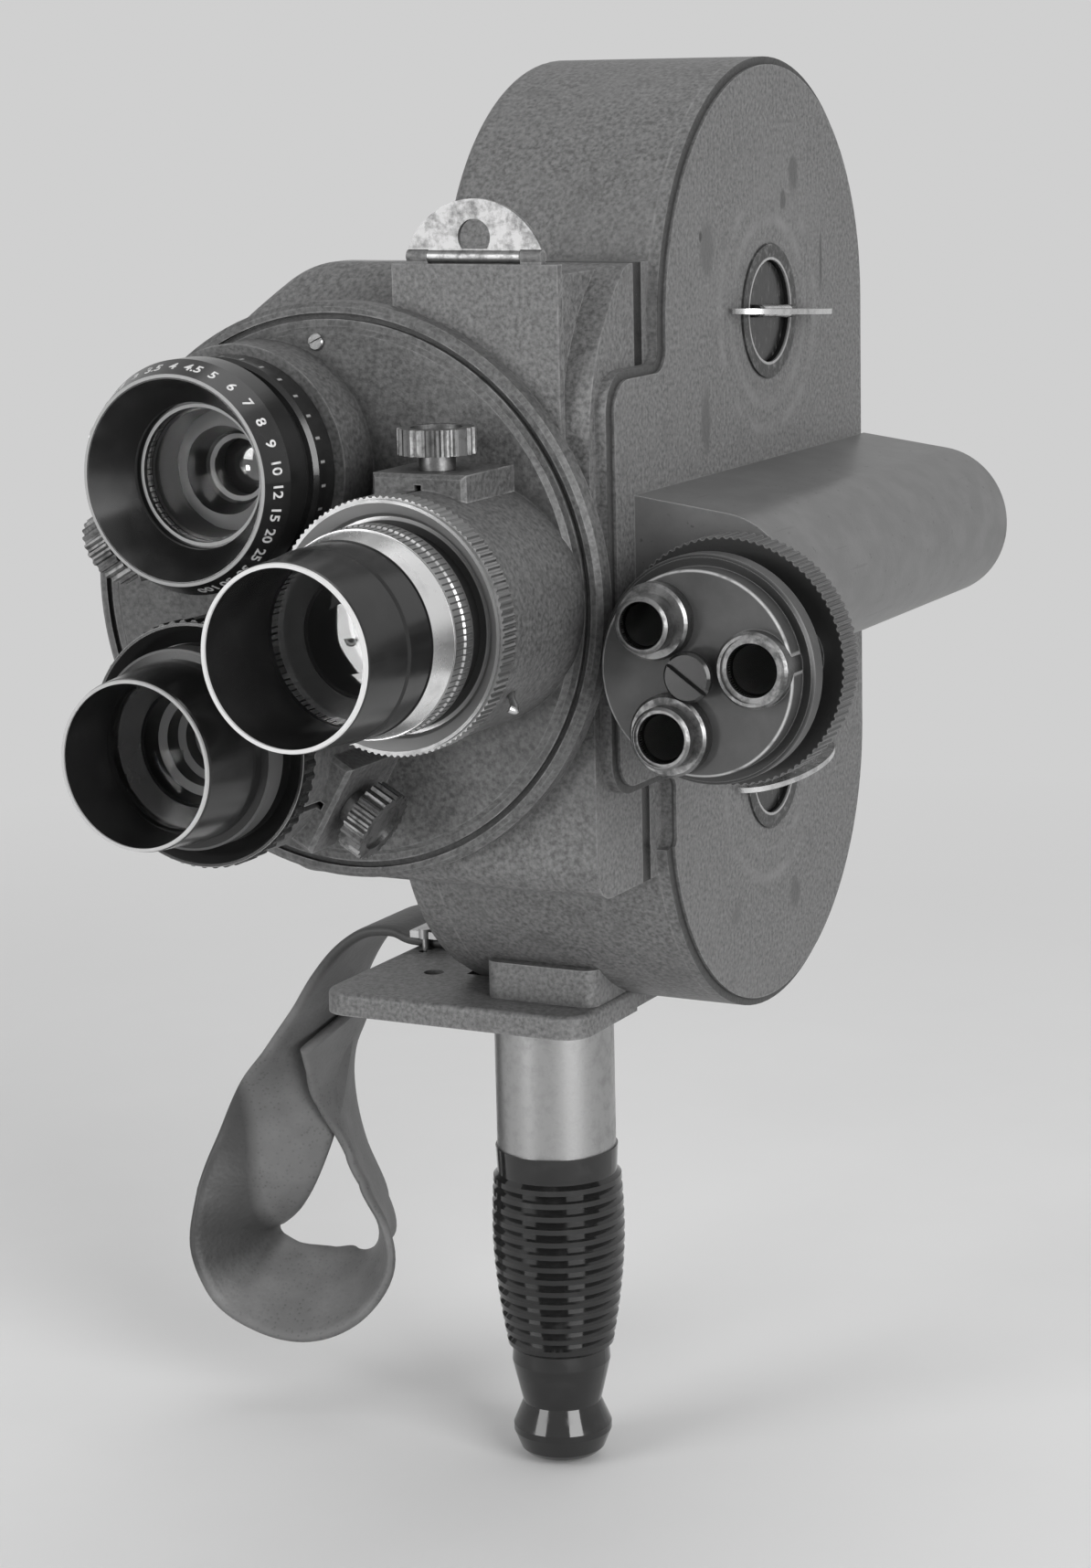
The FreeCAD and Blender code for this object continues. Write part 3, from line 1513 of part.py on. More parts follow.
def pressure_spring():
    """Leaf riveted to the middle of the pressure plate, whose bowed ends lean on two posts."""
    back = pressure_y() + pressure_thickness
    half = pressure_spring_half()
    left = film_centre_x - leaf_spring_width / 2

    def leaf(offset):
        low = V(left, back + leaf_spring_bow + offset, aperture_z - half)
        middle = V(left, back + offset, aperture_z)
        top = V(left, back + leaf_spring_bow + offset, aperture_z + half)
        return low, middle, top

    low, middle, top = leaf(0)
    low_out, middle_out, top_out = leaf(leaf_spring_thickness)
    wire = Part.Wire([
        Part.Arc(low, middle, top).toShape(), Part.makeLine(top, top_out),
        Part.Arc(top_out, middle_out, low_out).toShape(), Part.makeLine(low_out, low),
    ])
    return Part.Face(wire).extrude(V(leaf_spring_width, 0, 0))


def pressure_posts():
    """Two posts on the mechanism plate that the ends of the pressure spring lean on."""
    y = pressure_y() + pressure_thickness + leaf_spring_bow + leaf_spring_thickness
    y += pressure_post_radius + face_gap
    end = film_centre_x + leaf_spring_width / 2
    reach = pressure_spring_half() - pressure_post_radius
    return [rod_x(y, aperture_z + side * reach, pressure_post_radius, plate_face_x, end) for side in (-1, 1)]


def film_sprocket():
    axis = (sprocket_y, sprocket_z)
    points = toothed_points(sprocket_teeth, sprocket_tip_radius, sprocket_radius, 0.12, 0.2)
    shaft = rod_x(*axis, sprocket_shaft_radius, gear_room_x + passing_gap,
                  film_centre_x + perforation_spacing / 2 + sprocket_rim_width)
    waist = rod_x(*axis, sprocket_waist, film_centre_x - perforation_spacing / 2,
                  film_centre_x + perforation_spacing / 2)
    half = sprocket_rim_width / 2
    rims = []
    for side in (-1, 1):
        middle = film_centre_x + side * perforation_spacing / 2
        rims.append(rod_x(*axis, sprocket_radius, middle - half, middle + half))
        rims.append(toothed_x(axis, points, middle - 0.9, middle + 0.9))
    gear_x = gear_room_x + passing_gap
    gear_teeth = gear_points(sprocket_gear_teeth, sprocket_gear_phase())
    gear = toothed_x(axis, gear_teeth, gear_x, gear_x + gear_thickness)
    return fused(shaft, waist, gear, *rims)


def film_shoes():
    """Two curved shoes that keep the film on the sprocket, above and below it."""
    inner = sprocket_radius + shoe_gap
    outer = inner + shoe_thickness
    axis = (sprocket_y, sprocket_z)
    xs = (film_centre_x - shoe_width / 2, film_centre_x + shoe_width / 2)
    ring = rod_x(*axis, outer, *xs).cut([rod_x(*axis, inner, *xs)])
    reach = outer * 2
    lean = reach * tan(radians(shoe_half_angle))
    shoes = []
    for side in (-1, 1):
        corners = [V(xs[0], sprocket_y, sprocket_z), V(xs[0], sprocket_y - lean, sprocket_z + side * reach),
                   V(xs[0], sprocket_y + lean, sprocket_z + side * reach)]
        wedge = Part.Face(Part.makePolygon(corners + corners[:1])).extrude(V(shoe_width, 0, 0))
        post = rod_x(sprocket_y, sprocket_z + side * (outer + shoe_post_radius - 0.6), shoe_post_radius,
                     plate_face_x, xs[1])
        shoes.append(fused(ring.common(wedge), post))
    return Part.makeCompound(shoes)


# Spools and spindles


def spindle(z):
    start = plate_face_x + face_gap
    drive_end = spool_left_x + spindle_drive_length
    end = door_seat_x - nose_reach - face_gap
    half = drive_square / 2
    square = box((start, drive_end), (-half, half), (z - half, z + half))
    sleeve = rod_x(0, z, spindle_radius, drive_end, end)
    bore = rod_x(0, z, post_radius + turning_play, start, end)
    return fused(square, sleeve).cut([bore])


def spool(z):
    """Daylight spool: two flanges with round holes on a hollow core."""
    half_hole = drive_square / 2 + face_gap
    flanges = []
    for x in (spool_left_x, spool_right_x - flange_thickness):
        flanges.append(rod_x(0, z, flange_radius, x, x + flange_thickness))
    core = rod_x(0, z, spool_core_radius, spool_left_x, spool_right_x)
    hollow = rod_x(0, z, spool_core_radius - spool_core_wall, spool_left_x + flange_thickness,
                   spool_right_x - flange_thickness)
    tools = [hollow]
    tools.append(box((spool_left_x, spool_left_x + flange_thickness), (-half_hole, half_hole),
                     (z - half_hole, z + half_hole)))
    tools.append(rod_x(0, z, spindle_radius + face_gap, spool_right_x - flange_thickness, spool_right_x))
    for i in range(3):
        angle = radians(120 * i + 90)
        y = flange_hole_circle * cos(angle)
        hole_z = z + flange_hole_circle * sin(angle)
        tools.append(rod_x(y, hole_z, flange_hole_radius, spool_left_x, spool_right_x))
    return fused(core, *flanges).cut(tools)


# Spring motor


def arbor_end_x():
    return plate_face_x - mechanism_plate_thickness / 2


def winding_arbor():
    start = cover_face_x - cover_wall - key_hub_length / 2
    return rod_x(0, low_z, arbor_radius, start, arbor_end_x())


def winding_key():
    start = cover_face_x - cover_wall - face_gap
    end = start - key_hub_length
    hub = rod_x(0, low_z, key_hub_radius, end, start)
    half = key_width / 2
    reach = key_length / 2 - half
    bar = box((end, end + key_thickness), (-reach, reach), (low_z - half, low_z + half))
    ends = [rod_x(y, low_z, half, end, end + key_thickness) for y in (-reach, reach)]
    body = fused(hub, bar, *ends)
    return body.cut([rod_x(0, low_z, arbor_radius, start - key_hub_length / 2 - face_gap, start)])


def spring_room():
    """Where the barrel's drum lies along X, inside the case drum and its cover."""
    return cover_face_x + cover_wall + passing_gap, gear_room_x - passing_gap


def spring_barrel():
    left, right = spring_room()
    left_end = left + passing_gap
    radius = min(barrel_radius, end_radius - cover_rim - passing_gap)
    drum = rod_x(0, low_z, radius, left_end, right)
    hollow = rod_x(0, low_z, radius - barrel_wall, left_end, right - barrel_floor)
    gear_x = gear_room_x + face_gap
    hub = rod_x(0, low_z, barrel_hub_radius, right - barrel_floor, gear_x + gear_thickness)
    points = gear_points(barrel_teeth, barrel_phase())
    gear = toothed_x((0, low_z), points, gear_x, gear_x + gear_thickness)
    body = fused(drum.cut([hollow]), hub, gear)
    return body.cut([rod_x(0, low_z, arbor_radius + turning_play, left, gear_x + gear_thickness)])


def mainspring():
    """Flat spiral of half circles, hooked to the barrel's wall."""
    left, right = spring_room()
    x0 = left + 2 * passing_gap
    x1 = right - barrel_floor - passing_gap
    radius = min(barrel_radius, end_radius - cover_rim - passing_gap) - barrel_wall - face_gap
    pitch = (radius - mainspring_inner_radius) / mainspring_turns

    def side(start):
        edges = []
        reach = start
        middle = 0.0
        for i in range(2 * mainspring_turns):
            way = 1 if i % 2 == 0 else -1
            begin = V(x0, middle + way * reach, low_z)
            top = V(x0, middle, low_z + way * reach)
            end = V(x0, middle - way * reach, low_z)
            edges.append(Part.Arc(begin, top, end).toShape())
            reach -= pitch / 4
            middle = end.y + way * reach
        return edges, end

    outer, outer_end = side(radius)
    inner, inner_end = side(radius - mainspring_thickness)
    first = Part.makeLine(V(x0, radius, low_z), V(x0, radius - mainspring_thickness, low_z))
    last = Part.makeLine(outer_end, inner_end)
    return Part.Face(Part.Wire(Part.sortEdges(outer + inner + [first, last])[0])).extrude(V(x1 - x0, 0, 0))


# Gears


def pitch_radius(teeth):
    return teeth * gear_module / 2


def gear_points(teeth, phase):
    radius = pitch_radius(teeth)
    return toothed_points(teeth, radius + tooth_addendum, radius - tooth_dedendum, 0.18, 0.52, phase)


def idler_centre():
    """(y, z) where the idler meshes with the barrel and with the sprocket's gear."""
    to_barrel = pitch_radius(barrel_teeth) + pitch_radius(idler_teeth) + gear_backlash
    to_sprocket = pitch_radius(sprocket_gear_teeth) + pitch_radius(idler_teeth) + gear_backlash
    dy = sprocket_y
    dz = sprocket_z - low_z
    distance = hypot(dy, dz)
    along = (to_barrel ** 2 - to_sprocket ** 2 + distance ** 2) / (2 * distance)
    across = sqrt(to_barrel ** 2 - along ** 2)
    return (along * dy + across * dz) / distance, low_z + (along * dz - across * dy) / distance


def barrel_phase():
    """A barrel tooth points at the idler."""
    y, z = idler_centre()
    return atan2(z - low_z, y)


def idler_phase():
    """A gap of the idler faces the barrel tooth."""
    return barrel_phase() + pi + pi / idler_teeth


def sprocket_gear_phase():
    y, z = idler_centre()
    towards = atan2(sprocket_z - z, sprocket_y - y)
    shift = (idler_phase() - towards) * pitch_radius(idler_teeth) + pi * gear_module / 2
    return towards + pi - shift / pitch_radius(sprocket_gear_teeth)


def idler_gear():
    x = gear_room_x + passing_gap
    gear = toothed_x(idler_centre(), gear_points(idler_teeth, idler_phase()), x, x + gear_thickness)
    return gear.cut([rod_x(*idler_centre(), idler_stud_radius + turning_play, x, x + gear_thickness)])


# Shutter


def shutter_disc():
    """Open sector disc riveted to the shaft that carries it in the housing's back plate."""
    front = housing_front_y + shutter_front_gap
    back = front + shutter_thickness
    axis = (turret_x, turret_z)
    disc = rod_y(*axis, shutter_radius, front, back)
    hub = rod_y(*axis, shutter_hub_radius, front - 2, back + 1)
    shaft = rod_y(*axis, shaft_radius, front - 2, neck_y)
    reach = shutter_radius * 2
    quarter = shutter_opening / 4
    corners = [V(turret_x, front, turret_z)]
    for step in (-2, -1, 1, 2):
        angle = radians(step * quarter)
        corners.append(V(turret_x + reach * cos(angle), front, turret_z + reach * sin(angle)))
    sector = Part.Face(Part.makePolygon(corners + corners[:1])).extrude(V(0, shutter_thickness, 0))
    middle = rod_y(*axis, shutter_hub_radius + 3, front, back)
    return fused(disc.cut([sector]), middle, hub, shaft)


# Far side


def dial(y, above, radius):
    z = case_z + above
    points = knurl_points(dial_knurl_count, radius)
    end = case_far_x - face_gap
    rim = toothed_x((y, z), points, end - dial_thickness + 0.8, end)
    face = rod_x(y, z, radius - 1.2, end - dial_thickness, end)
    stem = rod_x(y, z, dial_stem_radius, end, gear_room_x)
    return fused(rim, face, stem)


def lever_y():
    return housing_back_y - lever_setback


def lever_z():
    return case_z + (shoulder_z + hip_z) / 2


def release_lever():
    x1 = housing_left_x - face_gap
    x0 = x1 - lever_thickness
    y, z = lever_y(), lever_z()
    half = lever_width / 2
    arm = box((x0, x1), (y - half, y + half), (z, z + lever_length - half))
    ends = [rod_x(y, z, half, x0, x1), rod_x(y, z + lever_length - half, half, x0 - 1.5, x1)]
    stem = rod_x(y, z, lever_stem_radius, x1, housing_left_x + housing_wall)
    return fused(arm, stem, *ends)


# Hand strap


def strap_line():
    """Middle of the strap and the direction of its width, from its clamp round the loop to its end."""
    lie = plate_thickness + strap_thickness / 2 + face_gap
    y = strap_y
    return [
        ((-23.0, y, lie), (0, 1, 0)), ((-34.5, y, lie), (0, 1, 0)), ((-40.0, y, lie + 1.4), (0, 1, 0)),
        ((-47.5, y, lie + 0.2), (0, 1, 0)), ((-54.5, y, 1.8), (0, 1, 0)), ((-60.5, y, -6.0), (0.05, 1, 0)),
        ((-65.5, 9.5, -16.0), (0.15, 1, 0)), ((-70.0, 8.0, -28.0), (0.45, 0.9, 0)),
        ((-74.5, 6.0, -40.0), (0.8, 0.6, 0)), ((-79.0, 4.0, -52.0), (0.9, 0.45, 0)),
        ((-84.0, 2.0, -63.0), (0.75, 0.68, 0.1)), ((-87.5, 2.0, -72.0), (0.43, 0.9, 0.15)),
        ((-85.5, 3.0, -79.5), (0.1, 0.85, 0.55)), ((-78.5, 4.0, -84.0), (-0.2, 0.75, 0.65)),
        ((-70.0, 6.0, -85.5), (-0.33, 0.67, 0.65)), ((-62.0, 9.0, -83.5), (-0.45, 0.75, 0.5)),
        ((-56.0, 13.0, -78.0), (-0.5, 0.85, 0.25)), ((-55.5, 17.0, -71.0), (-0.46, 0.89, 0.0)),
        ((-60.0, 20.5, -63.0), (-0.46, 0.89, 0)), ((-65.5, 22.5, -54.0), (-0.44, 0.89, 0)),
        ((-68.0, 21.5, -44.0), (-0.35, 0.93, 0)), ((-67.5, 18.0, -34.0), (-0.2, 0.98, 0)),
        ((-64.5, 13.5, -25.0), (-0.05, 1, 0)), ((-62.3, 10.5, -19.0), (0.1, 1, 0)),
    ]


def hand_strap():
    line = [(V(*place), V(*width)) for place, width in strap_line()]
    sections = []
    for i, (place, width) in enumerate(line):
        before = line[max(i - 1, 0)][0]
        after = line[min(i + 1, len(line) - 1)][0]
        along = (after - before).normalize()
        across = (width - along * width.dot(along)).normalize() * (strap_width / 2)
        up = along.cross(across).normalize() * (strap_thickness / 2)
        corners = [place + across + up, place - across + up, place - across - up, place + across - up]
        sections.append(Part.makePolygon(corners + corners[:1]))
    length = sum((line[i + 1][0] - line[i][0]).Length for i in range(len(line) - 1))
    print("strap length", round(length, 1))
    return Part.makeLoft(sections, True, True)


def strap_clamp():
    """Bar that holds the end of the strap down on the base plate, with its two rivets."""
    low = plate_thickness + strap_thickness + 2 * face_gap
    half = clamp_bar_length / 2
    xs = (clamp_bar_x - clamp_bar_width / 2, clamp_bar_x + clamp_bar_width / 2)
    bar = box(xs, (strap_y - half, strap_y + half), (low, low + clamp_bar_thickness))
    rivets = []
    for side in (-1, 1):
        y = strap_y + side * (strap_width / 2 + clamp_bar_length / 2) / 2
        rivets.append(rod_z(clamp_bar_x, y, rivet_radius / 2, plate_thickness / 2, low))
        rivets.append(rod_z(clamp_bar_x, y, rivet_radius, low, low + clamp_bar_thickness + 0.6))
    return fused(bar, *rivets)


NODES = {
    "main_casting": main_casting,
    "mechanism_plate": mechanism_plate,
    "spring_cover": spring_cover,
    "front_housing": front_housing,
    "housing_back_plate": housing_back_plate,
    "base_plate": base_plate,
    "base_screws": base_screws,
    "handle_ferrule": handle_ferrule,
    "handle_grip": handle_grip,
    "lens_turret": lens_turret,
    "turret_pivot": turret_pivot,
    "clamp_blocks": clamp_blocks,
    "clamp_screw_a": lambda: clamp_screw(0),
    "clamp_screw_b": lambda: clamp_screw(1),
    "clamp_screw_c": lambda: clamp_screw(2),
    "lens_a_barrel": lens_a_barrel,
    "lens_a_focus_ring": lens_a_focus_ring,
    "lens_a_iris_ring": lens_a_iris_ring,
    "lens_a_hood": lens_a_hood,
    "lens_b_barrel": lens_b_barrel,
    "lens_b_focus_ring": lens_b_focus_ring,
    "lens_b_iris_ring": lens_b_iris_ring,
    "lens_c_barrel": lens_c_barrel,
    "lens_c_focus_ring": lens_c_focus_ring,
    "lens_c_hood": lens_c_hood,
    "lens_glasses": lens_glasses,
    "film_door": film_door,
    "upper_lock": lambda: lock(high_z, upper_lock_turn),
    "lower_lock": lambda: lock(low_z, lower_lock_turn),
    "upper_wing": lambda: wing(high_z, upper_lock_turn),
    "lower_wing": lambda: wing(low_z, lower_lock_turn),
    "finder_tube": finder_tube,
    "finder_turret": finder_turret,
    "finder_objectives": finder_objectives,
    "finder_glasses": finder_glasses,
    "finder_screw": finder_screw,
    "eyepiece_ring": eyepiece_ring,
    "eyepiece_glass": eyepiece_glass,
    "sight_bracket": sight_bracket,
    "sight_leaf": sight_leaf,
    "gate_plate": gate_plate,
    "pressure_plate": pressure_plate,
    "pressure_spring": pressure_spring,
    "film_sprocket": film_sprocket,
    "film_shoes": film_shoes,
    "supply_spindle": lambda: spindle(high_z),
    "take_up_spindle": lambda: spindle(low_z),
    "supply_spool": lambda: spool(high_z),
    "take_up_spool": lambda: spool(low_z),
    "spring_barrel": spring_barrel,
    "mainspring": mainspring,
    "winding_arbor": winding_arbor,
    "winding_key": winding_key,
    "idler_gear": idler_gear,
    "shutter_disc": shutter_disc,
    "footage_dial": lambda: dial(footage_dial_y, footage_dial_above, footage_dial_radius),
    "speed_dial": lambda: dial(speed_dial_y, speed_dial_above, speed_dial_radius),
    "release_lever": release_lever,
    "strap_clamp": strap_clamp,
    "hand_strap": hand_strap,
}

os.makedirs("parts", exist_ok=True)
for name, make in NODES.items():
    shape = make()
    shape.exportStep(f"parts/{name}.step")
    print(name, shape.isValid(), len(shape.Solids), len(shape.Faces), round(shape.Volume))
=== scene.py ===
from math import cos, pi, radians, sin, sqrt

import bmesh
import bpy
from mathutils import Matrix, Vector


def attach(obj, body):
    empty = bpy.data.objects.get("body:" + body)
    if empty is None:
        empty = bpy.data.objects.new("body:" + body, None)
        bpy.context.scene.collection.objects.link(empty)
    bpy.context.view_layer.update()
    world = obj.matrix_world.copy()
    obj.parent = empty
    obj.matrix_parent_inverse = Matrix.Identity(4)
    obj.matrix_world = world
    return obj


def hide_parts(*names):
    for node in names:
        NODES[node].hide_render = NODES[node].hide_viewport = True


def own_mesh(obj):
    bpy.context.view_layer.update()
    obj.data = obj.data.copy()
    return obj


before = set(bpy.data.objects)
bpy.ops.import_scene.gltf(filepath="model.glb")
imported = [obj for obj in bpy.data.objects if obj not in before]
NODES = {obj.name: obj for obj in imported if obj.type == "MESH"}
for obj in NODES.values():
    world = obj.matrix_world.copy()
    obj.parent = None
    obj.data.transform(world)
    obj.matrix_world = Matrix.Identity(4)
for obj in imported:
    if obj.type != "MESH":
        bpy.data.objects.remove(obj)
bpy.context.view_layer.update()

MM = 0.001

# Camera that took the picture, in metres and degrees
camera_place = Vector((0.3574, -0.6934, 0.2035))
camera_yaw = 27.32
camera_pitch = 11.52
camera_roll = -1.30
camera_lens = 82.8
camera_sensor = 36.0

# Room and lamps, in metres and watts: each lamp's place, the point it faces, its size and its power
floor_z = -0.1125
floor_radius = 4.0
wall_bend = 1.0
wall_bend_steps = 12
wall_top = 1.5
room_sides = 72
floor_shade = 0.84
background_shade = 0.63
fade_start = 0.25
fade_end = 0.8
world_strength = 0.36
object_middle = (0.0, 0.0, 0.06)
lamps = {
    "right_window": ((1.5, -0.9, 0.5), object_middle, (1.0, 1.2), 27),
    "left_front": ((-0.9, -1.6, 0.7), object_middle, (0.9, 0.9), 12),
    "overhead": ((0.2, 0.3, 1.6), object_middle, (1.2, 1.2), 6),
    "low_window": ((-0.446, -0.94, -0.03), (0.03, -0.13, 0.1), (0.14, 0.14), 0.9),
}

# Door, in millimetres: dark line round its raised face, dark rim, painted highlight ring on the lip and black
# cup of each lock
door_line = (52.9, 53.4)
lock_heights = (53.0, 149.0)
lock_rim = (10.4, 14.1)
lock_lip_highlight = (10.3, 11.1)
lock_cup_radius = 10.8
lock_cup_mouth = 54.0

# Marks of use on the door, in millimetres: (y, z), how wide and high, and shade
worn_circles = (19.0, 24.5)
worn_circle_width = 2.2
door_mark_radius = 1.3
door_marks = (
    ((13.5, 176.7), (2.6, 4.4), 0.06), ((-30.5, 163.5), (3.6, 6.4), 0.075),
    ((-33.5, 166.0), (0.8, 1.2), 0.02), ((-32.0, 129.0), (2.6, 6.8), 0.065),
    ((11.2, 22.5), (3.0, 4.0), 0.065), ((28.0, 158.0), (0.8, 6.5), 0.04),
    ((8.0, 171.5), (1.6, 2.6), 0.05), ((-20.0, 24.0), (2.6, 2.2), 0.08),
)

# Lens places, in millimetres, from the frame's own joints
turret_centre = (-1.5, 99.0)
finder_head = (78.4, 88.6)
lens_circle = 29.9
objective_circle = 12.5
objective_angle = 8.0
objective_bore_radii = (5.1, 4.5, 4.8)

# Finder's turret, in millimetres: grooves (front, back, greatest radius) and the rim of its face
finder_grooves = ((-86.9, -82.5, 21.75), (-82.9, -76.6, 30.0))
finder_rim_radius = 19.3
finder_rim_front = -90.95

# Where the lenses change finish, in millimetres: radii from the axis and stations along Y
barrel_a_bore_radius = 17.0
barrel_a_front = -134.65
barrel_a_sleeve = -128.45
grip_a_dish_radius = 23.3
grip_a_step = (19.9, 21.2)
grip_a_sleeve_radius = 19.8
glass_ring_b = (13.05, 13.7)
glass_ring_b_back = -110.35
ring_c_radius = 19.25
ring_c_back = -116.45

# Engraved scales, in millimetres: number of lines, share of the gap that a line takes, front and back station
scale_a = (100, 0.3, -128.2, -122.6)
scale_b = (30, 0.1, -102.4, -100.9)

# Bands worn to bright metal on black pieces, in millimetres: least radius, front, back, and shade
hood_a_rim = (16.2, -158.0, -156.0, 0.55)
hood_c_rim = (15.7, -140.0, -137.7, 0.4)
ring_b_rim = (19.6, -121.0, -120.3, 0.28)
dish_c_rim = (23.9, -117.0, -116.0, 0.25)

# Blackened insides of the lenses behind their glass: inner radius and depth, in millimetres
inside_a = ((11.3, 0.0), (9.6, 8.0), (6.5, 8.2), (6.3, 14.0), (3.4, 14.2), (3.4, 17.0))
inside_b = (
    (12.3, 0.0), (11.6, 7.5), (8.4, 5.2), (8.2, 5.8), (6.9, 9.6), (6.3, 10.0), (5.4, 10.2), (5.4, 13.5),
)
inside_c = (
    (11.3, 0.0), (10.6, 4.0), (8.8, 4.4), (8.6, 8.0), (7.0, 8.4), (6.8, 11.5), (5.0, 11.8), (5.0, 14.0),
)
inside_front_a = -128.6
inside_front_b = -106.9
inside_front_c = -117.1
inside_bore_a = 11.95
inside_bore_b = 12.95
inside_bore_c = 11.95

# A step of the inside is greyer if it is wider than the first and shallower than the second, in millimetres
grey_step_width = 0.8
grey_step_depth = 1.0

# Small lens at the end of each inside: half the angle of its curve, distance from the back, and facets
deep_lens_angle = 30.0
deep_lens_back = 0.4
deep_lens_steps = 5

# Plain distance numbers on the sloping front of lens B's ring, in millimetres and degrees
distance_numbers = (
    "2", "2.5", "3", "3.5", "4", "4.5", "5", "6", "7", "8", "9", "10", "12", "15", "20", "25", "30",
    "50", "100",
)
number_size = 3.1
number_weight = 0.05
number_thickness = 0.12
number_sink = 0.05
number_radius = 21.4
number_y = -117.6
number_slope = (2.4, 5.6)
number_start = 140.0
number_gap = 12.0

# Slotted screws on the turret's face, in millimetres and degrees: place (x, z) and turn of the slot
turret_face_y = -86.0
turret_screws = (((-4.4, 148.6), 25.0), ((-19.1, 147.1), 95.0))
screw_radius = 1.7
screw_height = 0.7
screw_foot = 0.3
screw_edge = 0.6
screw_top = 0.86
screw_floor = 0.35
screw_floor_radius = 0.9
slot_half_angle = 14.0
screw_steps = 14

# Wire catch beside lens A's grip, in millimetres: distance from the lens's axis and place along Y
catch_angle = -33.0
catch_radius = 0.75
catch_path = (
    (23.4, -107.5), (24.6, -109.6), (26.2, -111.3), (27.6, -112.6), (28.0, -113.6), (27.0, -114.2),
)


def lens_axis(place):
    """(x, z) of lens A, B or C, which are places 0, 1 and 2."""
    angle = radians(120 * place)
    return (turret_centre[0] + lens_circle * cos(angle), turret_centre[1] + lens_circle * sin(angle))


def objective_bores():
    """Axis and bore radius of each of the finder's lens tubes."""
    for place, bore in enumerate(objective_bore_radii):
        angle = radians(objective_angle + 120 * place)
        across, up = objective_circle * cos(angle), objective_circle * sin(angle)
        yield (finder_head[0] + across, finder_head[1] + up), bore


# Node building

# Sockets of a mix node that blends colours or plain values: its two inputs and its output
colour_mix = (6, 7, 2)
value_mix = (2, 3, 0)


